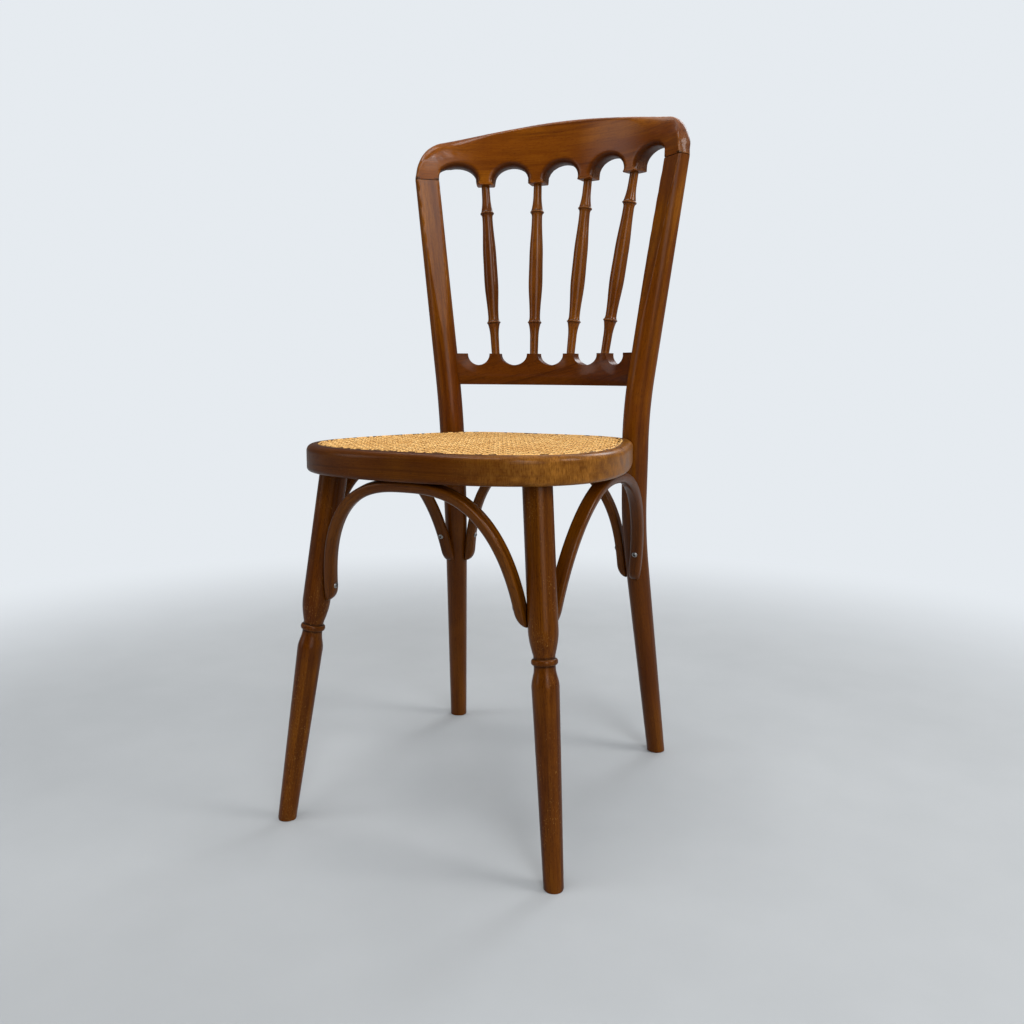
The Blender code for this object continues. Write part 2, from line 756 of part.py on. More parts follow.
def crest_top():
    """The top edge of the right half, from the outer side to just before the peak."""
    side = CREST.half_angle * CREST.front_radius + FACET_WIDTH / 2
    crown = CREST_CROWN_SHARE
    drop = CREST_RISE - CREST_CORNER_RISE
    full = math.sqrt(1 + crown ** 2) - crown

    def height(s):
        fall = (math.sqrt((s / side) ** 2 + crown ** 2) - crown) / full
        return JOINT_HEIGHT + CREST_RISE - drop * fall

    slope = drop / side / (full * math.sqrt(1 + crown ** 2))
    turn = math.pi / 2 - math.atan(slope)
    reach = CREST_CORNER_RADIUS * math.tan(turn / 2)
    centre_s = side - CREST_CORNER_RADIUS
    centre_z = height(side) - reach
    points = [(side, JOINT_HEIGHT + GAP / 2)]
    for step in range(8):
        angle = turn * step / 8
        points.append((
            centre_s + CREST_CORNER_RADIUS * math.cos(angle),
            centre_z + CREST_CORNER_RADIUS * math.sin(angle)))
    top_start = side - reach * math.cos(math.atan(slope))
    for step in range(8):
        s = top_start * (1 - step / 8)
        points.append((s, height(s)))
    return points


def crest_arches():
    """The lower edge of the right half, from the middle arch out to the joint."""
    pitch = TOP_PITCH_SHARE * CREST.half_angle * CREST.front_radius
    half = PENDANT_WIDTH / 2
    inner = CREST.half_angle * CREST.front_radius - FACET_WIDTH / 2
    points = arch((-pitch / 2 + half, PENDANT_HEIGHT), (pitch / 2 - half, PENDANT_HEIGHT), ARCH_RISE, 10)
    points = [point for point in points if point[0] > GAP]
    for place in (0.5, 1.5):
        left, right = pitch * place - half, pitch * place + half
        points += [(left, PENDANT_HEIGHT), (right, PENDANT_HEIGHT)]
        if place < 1:
            points += arch((right, PENDANT_HEIGHT), (right + pitch - 2 * half, PENDANT_HEIGHT), ARCH_RISE, 10)
        else:
            foot = JOINT_HEIGHT + GAP / 2
            points += arch((right, PENDANT_HEIGHT), (inner, foot), ARCH_RISE - PENDANT_DROP / 2, 10)
            points += [(inner, foot)]
    return points


def build_crest_rail():
    half = crest_arches() + crest_top()
    peak = (0.0, JOINT_HEIGHT + CREST_RISE)
    middle = (0.0, PENDANT_HEIGHT + ARCH_RISE)
    outline = [middle] + half + [peak] + [(-s, z) for s, z in reversed(half)]
    piece = blank("crest_rail", outline, CREST_THICKNESS, WOOD)
    shoulder = CREST.half_angle * CREST.front_radius
    arch_top = PENDANT_HEIGHT + ARCH_RISE

    def outer(one, two):
        return all(abs(end.x) > shoulder or end.z > arch_top + GAP for end in (one, two))

    def under(one, two):
        level = abs(one.z - two.z) < GAP / 30 and abs(one.z - PENDANT_HEIGHT) < GAP / 30
        return not level and all(abs(end.x) < shoulder and end.z < arch_top + GAP for end in (one, two))

    round_edges(piece, 0, CREST_FRONT_ROUND, 2, outer)
    round_edges(piece, 0, ARCH_FRONT_ROUND, 2, under)
    round_edges(piece, CREST_THICKNESS, CREST_BACK_ROUND, 4, outer)
    round_edges(piece, CREST_THICKNESS, ARCH_BACK_ROUND, 1, under)
    bend(piece, CREST.front_radius, CREST.centre_y, CREST_SLICE, JOINT_HEIGHT, CREST_LEAN_SLOPE)
    return smooth(piece, 40)


def rail_top():
    """The scalloped top edge of the lower rail's right half, from the middle outwards."""
    pitch = BOTTOM_PITCH_SHARE * RAIL.half_angle * RAIL.front_radius
    half = BOSS_WIDTH / 2
    end = RAIL.half_angle * RAIL.front_radius
    block = end - UPRIGHT_RADIUS - END_BLOCK
    points = arch((-pitch / 2 + half, RAIL_HEIGHT), (pitch / 2 - half, RAIL_HEIGHT), -SCALLOP_DEPTH, 10)
    points = [point for point in points if point[0] > GAP]
    for place in (0.5, 1.5):
        left, right = pitch * place - half, pitch * place + half
        points += [(left, RAIL_HEIGHT), (right, RAIL_HEIGHT)]
        stop = right + pitch - 2 * half if place < 1 else block
        points += arch((right, RAIL_HEIGHT), (stop, RAIL_HEIGHT), -SCALLOP_DEPTH, 10)
    points += [(block, RAIL_HEIGHT), (end, RAIL_HEIGHT), (end, RAIL_HEIGHT - RAIL_DEPTH)]
    return points


def build_lower_rail():
    half = rail_top()
    middle_top = (0.0, RAIL_HEIGHT - SCALLOP_DEPTH)
    middle_low = (0.0, RAIL_HEIGHT - RAIL_DEPTH)
    outline = [middle_top] + half + [middle_low] + [(-s, z) for s, z in reversed(half)]
    piece = blank("lower_back_rail", outline, RAIL_THICKNESS, WOOD)

    def shaped(one, two):
        return min(one.z, two.z) < RAIL_HEIGHT - GAP

    round_edges(piece, 0, RAIL_ROUND, 2, shaped)
    round_edges(piece, RAIL_THICKNESS, RAIL_ROUND, 1, shaped)
    bend(piece, RAIL.front_radius, RAIL.centre_y, CREST_SLICE)
    return smooth(piece, 40)


def tenon_lower_rail(rail, uprights):
    """Round tenons from the rail's ends into the uprights."""
    height = RAIL_HEIGHT - RAIL_DEPTH / 2
    for name, side in SIDES:
        centre = upright_at(height, side)
        inward = Vector((-side * math.cos(RAIL.half_angle), math.sin(RAIL.half_angle), 0))
        shoulder = centre + inward * upright_radius(height)
        tip = shoulder - inward * RAIL_TENON_LENGTH
        root = shoulder + inward * RAIL_TENON_LENGTH
        carve(rail, rod(name + "_rail_tenon", root, tip, RAIL_TENON_DIA / 2), "UNION")
        end = tip - inward * GAP
        bore((uprights[side],), name + "_rail_mortise", root, end, RAIL_TENON_DIA / 2)


def spindle_profile(length, shoulder_gap):
    """A spindle's turning, from the tenon in the crest rail to the one in the lower rail."""
    top = length / 2 - shoulder_gap
    bottom = -top
    span = 2 * top
    neck, shaft = SPINDLE_NECK_DIA / 2, SPINDLE_SHAFT_DIA / 2
    shoulder, belly, waist = SPINDLE_SHOULDER_DIA / 2, SPINDLE_BELLY_DIA / 2, SPINDLE_WAIST_DIA / 2
    rim, height = SPINDLE_BEAD_DIA / 2, SPINDLE_BEAD_HEIGHT
    tenon = SPINDLE_TENON_DIA / 2
    upper = top - UPPER_BEAD_SHARE * span
    full = top - SHOULDER_SHARE * span
    widest = top - BELLY_SHARE * span
    lower = top - LOWER_BEAD_SHARE * span
    tip = length / 2 + SPINDLE_TENON_LENGTH - GAP
    flare = (neck + shaft) / 2
    points = [(0, tip), (tenon, tip), (tenon, top), (neck, top)]
    points += swell((neck, top), (flare, upper + height / 2), 3)[:-1]
    points += bead(upper, height, rim, flare, shaft)
    points += swell((shaft, upper - height / 2), (shoulder, full), 4)
    points += [(belly, widest)]
    points += swell((belly, widest), (waist, lower + height / 2), 4)[:-1]
    points += bead(lower, height, rim, waist, flare)
    points += swell((flare, lower - height / 2), (neck, bottom), 3)
    points += [(tenon, bottom), (tenon, -tip), (0, -tip)]
    return points


def build_spindles(crest, rail):
    for number in range(4):
        low, high = spindle_ends(number)
        axis = high - low
        tilt = math.hypot(axis.x, axis.y) / axis.z
        shoulder_gap = SPINDLE_NECK_DIA / 2 * tilt + GAP
        matrix = frame_along((low + high) / 2, axis)
        name = "spindle_%d" % (number + 1)
        turned(name, spindle_profile(axis.length, shoulder_gap), SPINDLE_SIDES, WOOD, matrix)
        step = axis.normalized()
        depth, out = step * SPINDLE_TENON_LENGTH, step * OVERRUN
        bore((crest,), name + "_upper_socket", high - out, high + depth, SPINDLE_TENON_DIA / 2)
        bore((rail,), name + "_lower_socket", low + out, low - depth, SPINDLE_TENON_DIA / 2)


def build_crest_dowels(crest, uprights):
    """A loose dowel across each joint between upright and crest rail."""
    for name, side in SIDES:
        centre = CREST.point(side * CREST.half_angle, CREST_THICKNESS / 2, JOINT_HEIGHT)
        reach = Vector((0, 0, DOWEL_LENGTH / 2))
        room = Vector((0, 0, DOWEL_LENGTH / 2 + GAP))
        smooth(rod(name + "_crest_dowel", centre - reach, centre + reach, DOWEL_DIA / 2))
        both = (crest, uprights[side])
        bore(both, name + "_dowel_socket", centre - room, centre + room, DOWEL_DIA / 2)


# Legs

def front_leg_profile(length):
    """A front leg's turning, from its tenon down past the floor."""
    shaft, foot = FRONT_LEG_DIA / 2, FRONT_LEG_FOOT_DIA / 2
    neck, calf = FRONT_LEG_NECK_DIA / 2, FRONT_LEG_CALF_DIA / 2
    rim, height = FRONT_LEG_BEAD_DIA / 2, FRONT_LEG_BEAD_HEIGHT
    tenon = FRONT_TENON_DIA / 2
    middle = BEAD_RISE * length / RING_BOTTOM
    neck_top = middle + height
    neck_low = middle - height
    points = [(0, length + FRONT_TENON_LENGTH), (tenon, length + FRONT_TENON_LENGTH), (tenon, length)]
    points += [(shaft, length), (shaft, middle + UPPER_SWELL)]
    points += shoulder_round((shaft, middle + UPPER_SWELL), (neck, neck_top), 5)
    points += bead(middle, height, rim, neck, neck)
    points += [(neck, neck_low)]
    points += swell((neck, neck_low), (calf, middle - LOWER_SWELL), 5)
    points += [(foot, 0), (foot, -OVERRUN), (0, -OVERRUN)]
    return points


def build_front_leg(name, side, ring):
    foot = front_leg_at(0, side)
    top = front_leg_at(RING_BOTTOM, side)
    axis = top - foot
    tilt = math.hypot(axis.x, axis.y) / axis.z
    shoulder = FRONT_LEG_DIA / 2 * tilt + GAP
    matrix = frame_along(foot, axis)
    leg = turned(name, front_leg_profile(axis.length - shoulder), LEG_SIDES, WOOD, matrix)
    saw(leg, (0, 0, 0), (0, 0, -1))
    step = axis.normalized()
    reach = step * (FRONT_TENON_LENGTH + GAP)
    bore((ring,), name + "_socket", top - step * OVERRUN, top + reach, FRONT_TENON_DIA / 2)
    return leg


# Fasteners

def screw_profile(head_dia, head_height, shank_dia, length):
    """A low domed head over a plain shank that ends in a point."""
    head, shank = head_dia / 2, shank_dia / 2
    points = [(0, head_height)]
    for turn in (30, 60):
        angle = math.radians(turn)
        points.append((head * math.sin(angle), GAP + (head_height - GAP) * math.cos(angle)))
    points += [(head, GAP), (shank, GAP), (shank, -length + shank), (0, -length)]
    return points


def add_screw(name, seat, inward, thickness, bite, pieces, sizes, sink):
    """A screw through the first piece into the second, its head let into the first.

    The seat is on the surface of the first piece, and inward points along the shank.
    """
    head_dia, head_height, shank_dia = sizes
    inward = Vector(inward).normalized()
    face = Vector(seat) + inward * sink
    length = thickness - sink + bite
    profile = screw_profile(head_dia, head_height, shank_dia, length)
    turned(name, profile, FASTENER_SIDES, STEEL, frame_along(face, -inward))
    mouth = face - inward * (sink + OVERRUN)
    end = face + inward * (length + GAP)
    bore(pieces, name + "_hole", mouth, end, shank_dia / 2, FASTENER_SIDES)
    bore(pieces[:1], name + "_head_seat", mouth, face, head_dia / 2)


# Braces

class Post:
    """A leg as its braces need it: its piece, its line, and where the braces end."""

    def __init__(self, piece, side, line, radius, tip_drop, screw_rise):
        self.piece = piece
        self.side = side
        self.line = line
        self.radius = radius
        self.tip = RING_BOTTOM - tip_drop
        self.screw_rise = screw_rise

    def at(self, height):
        return self.line(height, self.side)


class Arch:
    """The plane and the bent line of one brace, between two legs and up to the seat ring.

    Local X runs from leg to leg and local Y rises to the ring's underside.
    """

    def __init__(self, first, second, crown_turn, rounding):
        low_first, low_second = first.at(first.tip), second.at(second.tip)
        high_first = first.at(first.tip + first.screw_rise)
        high_second = second.at(second.tip + second.screw_rise)
        half_bar = GAP + BRACE_THICKNESS / 2
        span = (low_second - low_first).normalized()
        end_first = low_first + span * (first.radius(high_first.z) + half_bar)
        end_second = low_second - span * (second.radius(high_second.z) + half_bar)
        over_ring = seat_point(crown_turn, CROWN_INSET)
        crown = Vector((over_ring.x, over_ring.y, RING_BOTTOM + BRACE_LET_IN - BRACE_THICKNESS / 2))
        middle = (end_first + end_second) / 2
        x = (end_second - end_first).normalized()
        y = (crown - middle) - x * (crown - middle).dot(x)
        self.rise = y.length
        self.half = (end_second - end_first).length / 2
        self.rounding = rounding
        y.normalize()
        self.matrix = Matrix((x, y, x.cross(y))).transposed().to_4x4()
        self.matrix.translation = middle
        step_first, step_second = high_first - low_first, high_second - low_second
        self.lean_first = step_first.dot(x) / step_first.dot(y)
        self.lean_second = step_second.dot(x) / step_second.dot(y)

    def point(self, angle):
        """A place on the bar's centre line, from 0 at the first tip to pi at the second."""
        along = -power(math.cos(angle), self.rounding)
        height = self.rise * abs(math.sin(angle)) ** self.rounding
        start = self.lean_first * height - self.half
        end = self.lean_second * height + self.half
        return Vector(((start + end) / 2 + along * (end - start) / 2, height, 0))

    def seat(self, rise, at_first):
        """The bar's inner face at a height above its tip, and the direction into the leg."""
        angle = math.asin((rise / self.rise) ** (1 / self.rounding))
        step = math.pi / OUTLINE_SAMPLES
        place = self.point(angle if at_first else math.pi - angle)
        ahead = self.point(angle + step if at_first else math.pi - angle - step)
        upward = (ahead - place).normalized()
        inward = Vector((upward.y, -upward.x, 0)) * (1 if at_first else -1)
        world = self.matrix @ (place + inward * (BRACE_THICKNESS / 2))
        return world, self.matrix.to_3x3() @ -inward


def brace_section():
    """A flat outer side with nearly square edges, and a rounded side towards the opening."""
    half_t, half_w = BRACE_THICKNESS / 2, BRACE_WIDTH / 2
    points = []
    corners = (
        (1, 1, BRACE_INNER_ROUND, 0, 3), (-1, 1, BRACE_OUTER_ROUND, 90, 1),
        (-1, -1, BRACE_OUTER_ROUND, 180, 1), (1, -1, BRACE_INNER_ROUND, 270, 3))
    for across, up, radius, start, steps in corners:
        centre = (across * (half_t - radius), up * (half_w - radius))
        points += fillet(centre, radius, start, start + 90, steps)
    return points


def round_brace_end(brace, arch, at_first):
    """Round the tip of a brace down to its leg."""
    sign = -1 if at_first else 1
    radius = BRACE_THICKNESS - BRACE_TOE
    face = arch.half + BRACE_THICKNESS / 2 - BRACE_TOE
    far = face - radius - OVERRUN
    corners = [(face, -OVERRUN)]
    corners += fillet((face, radius), radius, 270, 180, 4)
    corners += [(far, radius), (far, -OVERRUN)]
    tag = "_first_tip" if at_first else "_second_tip"
    outline = [(sign * x, y) for x, y in corners]
    carve(brace, plate(brace.name + tag, outline, BRACE_WIDTH, WOOD, arch.matrix))


def build_brace(name, arch, first, second, ring):
    """One bentwood arch between two legs, screwed to both and to the seat ring above it."""
    line = [arch.point(math.pi * i / BRACE_STATIONS) for i in range(BRACE_STATIONS + 1)]
    brace = swept(name, line, brace_section(), False, WOOD, arch.matrix)
    saw(brace, (0, 0, RING_BOTTOM - GAP), (0, 0, 1))
    smooth(brace, 30)
    for at_first, tag, post in ((True, "first", first), (False, "second", second)):
        round_brace_end(brace, arch, at_first)
        seat, into_leg = arch.seat(post.screw_rise, at_first)
        add_screw(
            "%s_%s_screw" % (name, tag), seat, into_leg, BRACE_THICKNESS, SCREW_BITE,
            (brace, post.piece), SCREW, SCREW_SINK)
    crown = arch.matrix @ Vector((0, arch.rise - BRACE_THICKNESS / 2, 0))
    upward = arch.matrix.to_3x3() @ Vector((0, 1, 0))
    add_screw(
        name + "_crown_screw", crown, upward, BRACE_THICKNESS, SCREW_BITE, (brace, ring),
        SCREW, SCREW_SINK)


def bolt_upright(name, side, upright, ring):
    """A bolt from outside through an upright into the ring."""
    outward = seat_normal(UPRIGHT_TURN_SHARE)
    outward = Vector((side * outward.x, outward.y, 0))
    face = upright_at(SEAT_HEIGHT - RING_THICKNESS / 2, side) + outward * UPRIGHT_RADIUS
    add_screw(
        name + "_seat_bolt", face, -outward, UPRIGHT_DIA, BOLT_BITE, (upright, ring),
        BOLT, BOLT_SINK)


def build_chair():
    ring = build_seat_ring()
    build_cane_panel()
    build_cane_spline()
    uprights = {side: build_upright(name + "_back_upright", side) for name, side in SIDES}
    legs = {side: build_front_leg("front_%s_leg" % name, side, ring) for name, side in SIDES}
    crest = build_crest_rail()
    rail = build_lower_rail()
    for name, side in SIDES:
        cope = bent_rod(name + "_cope", side, GAP)
        carve(ring, cope)
        carve(rail, cope)
        bolt_upright(name, side, uprights[side], ring)
    tenon_lower_rail(rail, uprights)
    build_spindles(crest, rail)
    build_crest_dowels(crest, uprights)

    front = {
        side: Post(legs[side], side, front_leg_at, front_leg_radius, FRONT_TIP_DROP, FRONT_SCREW_RISE)
        for side in legs}
    back = {
        side: Post(uprights[side], side, upright_at, upright_radius, BACK_TIP_DROP, BACK_SCREW_RISE)
        for side in uprights}
    braces = (
        ("front_arch_brace", front[-1], front[1], 0.0, FRONT_ARCH_ROUNDING_SHARE),
        ("right_arch_brace", front[1], back[1], SIDE_CROWN_TURN_SHARE, SIDE_ARCH_ROUNDING_SHARE),
        ("rear_arch_brace", back[1], back[-1], REAR_CROWN_TURN_SHARE, REAR_ARCH_ROUNDING_SHARE),
        ("left_arch_brace", back[-1], front[-1], 1 - SIDE_CROWN_TURN_SHARE, SIDE_ARCH_ROUNDING_SHARE),
    )
    for name, first, second, crown_turn, rounding in braces:
        build_brace(name, Arch(first, second, crown_turn, rounding), first, second, ring)


build_chair()
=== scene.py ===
# %% [markdown]
# A side chair with bent and turned beech parts and a seat of woven cane.
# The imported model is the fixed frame. Each cell below dresses one part of it: the same sizes,
# but round where the frame has facets, and with grain, varnish and a real weave.

# %% The frame
import math

import bmesh
import bpy
import numpy as np
from mathutils import Matrix, Vector
from mathutils.geometry import delaunay_2d_cdt
from mathutils.kdtree import KDTree


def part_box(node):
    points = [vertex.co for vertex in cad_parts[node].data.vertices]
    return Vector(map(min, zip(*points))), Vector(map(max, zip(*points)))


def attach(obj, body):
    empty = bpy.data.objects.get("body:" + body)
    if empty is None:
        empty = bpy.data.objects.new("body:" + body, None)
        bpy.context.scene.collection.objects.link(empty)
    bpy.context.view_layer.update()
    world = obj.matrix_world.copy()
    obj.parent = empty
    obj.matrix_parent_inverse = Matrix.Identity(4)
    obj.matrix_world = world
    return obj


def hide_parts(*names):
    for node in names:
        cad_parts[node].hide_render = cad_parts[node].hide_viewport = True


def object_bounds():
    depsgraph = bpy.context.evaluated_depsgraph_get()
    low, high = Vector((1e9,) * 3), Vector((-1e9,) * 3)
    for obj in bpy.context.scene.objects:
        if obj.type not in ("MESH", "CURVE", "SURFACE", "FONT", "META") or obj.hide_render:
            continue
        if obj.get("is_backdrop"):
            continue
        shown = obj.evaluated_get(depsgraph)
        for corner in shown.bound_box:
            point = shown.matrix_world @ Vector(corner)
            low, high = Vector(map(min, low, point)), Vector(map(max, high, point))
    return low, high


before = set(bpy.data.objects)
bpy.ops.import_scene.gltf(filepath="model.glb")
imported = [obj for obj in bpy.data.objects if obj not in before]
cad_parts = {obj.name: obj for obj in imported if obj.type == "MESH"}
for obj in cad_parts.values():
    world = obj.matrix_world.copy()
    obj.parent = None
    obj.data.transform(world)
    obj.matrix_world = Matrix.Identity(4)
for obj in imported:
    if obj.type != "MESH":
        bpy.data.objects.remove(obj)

CAD_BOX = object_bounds()


def show_box(label, box):
    print(label, [[round(value, 4) for value in corner] for corner in box])


def put(name, data):
    """A new object in the scene."""
    item = bpy.data.objects.new(name, data)
    bpy.context.scene.collection.objects.link(item)
    return item


show_box("frame", CAD_BOX)

# %% [markdown]
# The camera stands low in front of the chair and to its right, and looks slightly down.
# Its place was solved from the chair's own symmetry, so the frame and the photograph agree.
# A matrix made of three directions is surer than three angles, because nothing has to be
# turned in the right order.

# %% Camera
YAW, PITCH_DOWN, ROLL = 0.4501, 0.1450, 0.0075
CAMERA_PLACE = (0.5440, -1.0739, 0.5501)
FOCAL_PIXELS, PICTURE_PIXELS, SENSOR_WIDTH = 920.58, 1024, 36
ahead = Vector((
    -math.sin(YAW) * math.cos(PITCH_DOWN), math.cos(YAW) * math.cos(PITCH_DOWN),
    -math.sin(PITCH_DOWN)))
level = Vector((math.cos(YAW), math.sin(YAW), 0))
above = level.cross(ahead)
right = level * math.cos(ROLL) + above * math.sin(ROLL)
top = above * math.cos(ROLL) - level * math.sin(ROLL)
view = bpy.data.cameras.new("camera")
view.sensor_width = SENSOR_WIDTH
view.lens = FOCAL_PIXELS * SENSOR_WIDTH / PICTURE_PIXELS
view.clip_start = 0.01
camera = put("camera", view)
camera.matrix_world = Matrix((right, top, -ahead)).transposed().to_4x4()
camera.matrix_world.translation = CAMERA_PLACE
bpy.context.scene.camera = camera
bpy.context.scene.view_settings.view_transform = "Standard"
print("lens %.2f mm" % view.lens)

# %% [markdown]
# Materials, the surround and the weave are all trees of nodes. They could be built by hand in
# the editor, but a script shows every link. This helper keeps each tree readable: one short way
# to add any node with its inputs, and a method for each kind that comes up often.

# %% A helper for node trees
class Nodes:
    def __init__(self, tree):
        self.tree = tree

    def feed(self, socket, value):
        """Link a socket to another one, or set it. A colour may come without its alpha."""
        if isinstance(value, bpy.types.NodeSocket):
            self.tree.links.new(value, socket)
        elif isinstance(value, tuple) and len(value) == 3 and len(socket.default_value) == 4:
            socket.default_value = (*value, 1.0)
        else:
            socket.default_value = value

    def node(self, kind, output=0, inputs=(), **settings):
        node = self.tree.nodes.new(kind)
        for name, value in settings.items():
            setattr(node, name, value)
        for name, value in dict(inputs).items():
            self.feed(node.inputs[name], value)
        return node.outputs[output]

    def math(self, operation, first, second=0.0, third=0.5):
        return self.node("ShaderNodeMath", operation=operation, inputs={
            0: first, 1: second, 2: third})

    def plus(self, first, second):
        return self.math("ADD", first, second)

    def times(self, first, second):
        return self.math("MULTIPLY", first, second)

    def vector(self, x=0.0, y=0.0, z=0.0):
        return self.node("ShaderNodeCombineXYZ", inputs={0: x, 1: y, 2: z})

    def parts(self, vector):
        """The three numbers of a vector."""
        return self.node("ShaderNodeSeparateXYZ", inputs={0: vector}).node.outputs

    def between(self, value, low, high, to_low=0.0, to_high=1.0, **settings):
        """Where a value lies between two limits, told as a number between two others."""
        return self.node("ShaderNodeMapRange", inputs={
            "Value": value, "From Min": low, "From Max": high,
            "To Min": to_low, "To Max": to_high}, **settings)


# %% [markdown]
# A material is a tree round one shader. The methods below are what a finish is made of: a cloudy
# pattern stretched along the grain, tints laid over one another, and a slight relief. Painted
# pictures could do it too, but a tree stays sharp at any distance. Numbers that are the same all
# over a surface stay on the shader's own sockets.

# %% A helper for finishes
class Finish(Nodes):
    """The tree of a material."""

    def __init__(self, name):
        self.material = bpy.data.materials.new(name)
        self.material.use_nodes = True
        super().__init__(self.material.node_tree)
        self.shader = self.tree.nodes["Principled BSDF"]

    def own_place(self):
        return self.node("ShaderNodeTexCoord", "Object")

    def attribute(self, name, output="Vector"):
        return self.node("ShaderNodeAttribute", output, attribute_name=name)

    def noise(self, place, finer, detail=3.0, roughness=0.5, distortion=0.0):
        """A cloudy pattern, finer along a direction the larger its number is."""
        stretch = finer if isinstance(finer, tuple) else (finer, finer, finer)
        stretched = self.node("ShaderNodeVectorMath", operation="MULTIPLY", inputs={
            0: place, 1: stretch})
        return self.node("ShaderNodeTexNoise", "Fac", inputs={
            "Vector": stretched, "Scale": 1.0, "Detail": detail, "Roughness": roughness,
            "Distortion": distortion})

    def both(self, first, second):
        """Strong only where two patterns are. Each comes with its limits."""
        return self.times(self.between(*first), self.between(*second))

    def mix(self, share, first, second):
        return self.node("ShaderNodeMix", 2, {0: share, 6: first, 7: second}, data_type="RGBA")

    def cover(self, colour, *layers):
        """Lay tints over a colour: a pattern, two limits, the tint's share at each, the tint."""
        for *limits, tint in layers:
            colour = self.mix(self.between(*limits), colour, tint)
        return colour

    def bump(self, height, distance, strength):
        return self.node("ShaderNodeBump", inputs={
            "Height": height, "Distance": distance, "Strength": strength})

    def surface(self, **values):
        for name, value in values.items():
            self.feed(self.shader.inputs[name.replace("_", " ")], value)
        return self.material


# %% [markdown]
# The chair stands on a plain pale floor. Near the chair the floor is an ordinary matt surface,
# so it keeps the shadow. Further out it fades into the colour of the background for rays that
# come from the camera, and the horizon disappears without any more light falling on the chair.

# %% Floor
WALL = (0.79, 0.83, 0.87)
FADE_START, FADE_END = 0.75, 1.75
FLOOR_RADIUS = 30


def pale_floor():
    finish = Finish("pale_floor")
    spot = finish.own_place()
    speck = finish.noise(spot, 9.0, detail=4.0)
    finish.surface(
        Base_Color=finish.mix(speck, (0.435, 0.445, 0.450), (0.480, 0.490, 0.495)),
        Roughness=0.85, Specular_IOR_Level=0.10)
    reach = finish.node("ShaderNodeVectorMath", "Value", operation="LENGTH", inputs={0: spot})
    far = finish.between(reach, FADE_START, FADE_END, interpolation_type="SMOOTHSTEP")
    rays = finish.node("ShaderNodeLightPath").node.outputs
    seen = finish.math("MAXIMUM", rays["Is Camera Ray"], rays["Is Transmission Ray"])
    glow = finish.node("ShaderNodeEmission", inputs={"Color": WALL})
    blend = finish.node("ShaderNodeMixShader", inputs={
        0: finish.times(far, seen), 1: finish.shader.outputs[0], 2: glow})
    finish.feed(finish.tree.nodes["Material Output"].inputs["Surface"], blend)
    return finish.material


ground = bpy.data.meshes.new("floor")
shape = bmesh.new()
bmesh.ops.create_circle(shape, cap_ends=True, segments=96, radius=FLOOR_RADIUS)
shape.to_mesh(ground)
shape.free()
floor = put("floor", ground)
floor.data.materials.append(pale_floor())
floor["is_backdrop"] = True
print("floor radius", FLOOR_RADIUS)

# %% [markdown]
# The light comes mostly from the right, as the bright right sides of the legs show. What varnish
# mirrors matters as much as what lights it, so the windows are soft bright patches of the
# surround itself: an area lamp would be mirrored with hard edges. Six lamps add the shadows.
# The camera sees the surround in full. Reflections see a tenth of that, because all of it would
# lay a pale veil over the dark wood.

# %% Light
DIM_ROUND, PALE_ABOVE = 0.05, 0.34
WINDOW_FALL = 1.6
GLOSSY_SHARE = 0.10
WINDOWS = (
    # towards, degrees to the edge, degrees to the full middle, strength
    ((0.85, 0.05, 0.50), 63, 11, 0.56),
    ((0.69, -0.69, 0.22), 24, 7, 3.8),
    ((0.57, -0.61, 0.56), 15, 4, 10.0),
    ((0.12, 0.84, 0.52), 15, 4, 9.0),
    ((-0.76, -0.56, 0.28), 20, 5, 3.0))
LAMPS = (
    # name, place, aim, size, power
    ("ceiling_window", (-0.35, -0.80, 2.7), (0, -0.1, 0.5), (1.3, 0.40), 18),
    ("ceiling_panel", (0.1, 0.2, 2.9), (0, 0, 0.4), (1.7, 1.7), 10),
    ("right_window", (2.2, 0.30, 1.9), (0, 0, 0.5), (0.9, 0.9), 25),
    ("right_high", (1.35, -1.75, 3.0), (0, 0, 0.8), (0.30, 0.30), 4),
    ("left_fill", (-1.2, 0.6, 2.8), (0, 0, 0.6), (0.9, 0.9), 6),
    ("back_panel", (-0.5, 2.2, 2.6), (0, 0, 0.6), (1.1, 1.1), 9))

world = bpy.data.worlds.new("surround")
world.use_nodes = True
bpy.context.scene.world = world
surround = Nodes(world.node_tree)
directions = surround.node("ShaderNodeTexCoord", "Generated")
glow = surround.between(surround.parts(directions)[2], 0.25, 0.90, DIM_ROUND, PALE_ABOVE)
for way, edge, middle, power in WINDOWS:
    towards = surround.node("ShaderNodeVectorMath", "Value", operation="DOT_PRODUCT", inputs={
        0: directions, 1: tuple(Vector(way).normalized())})
    limits = [math.cos(math.radians(angle)) for angle in (edge, middle)]
    share = surround.math("POWER", surround.between(towards, *limits), WINDOW_FALL)
    glow = surround.plus(glow, surround.times(share, power))
rays = surround.node("ShaderNodeLightPath").node.outputs
shown = surround.math("MAXIMUM", rays["Is Camera Ray"], rays["Is Transmission Ray"])
shown = surround.math("MAXIMUM", shown, surround.times(rays["Is Glossy Ray"], GLOSSY_SHARE))
strength = surround.plus(glow, surround.times(shown, surround.math("SUBTRACT", 1.0, glow)))
background = world.node_tree.nodes["Background"].inputs
surround.feed(background["Color"], WALL)
surround.feed(background["Strength"], strength)

for name, place, aim, size, power in LAMPS:
    lamp = bpy.data.lights.new(name, "AREA")
    lamp.shape = "RECTANGLE"
    lamp.size, lamp.size_y = size
    lamp.energy = power
    item = put(name, lamp)
    item.location = place
    item.rotation_euler = (Vector(aim) - Vector(place)).to_track_quat("-Z", "Y").to_euler()
print("windows", len(WINDOWS), "lamps", len(LAMPS))

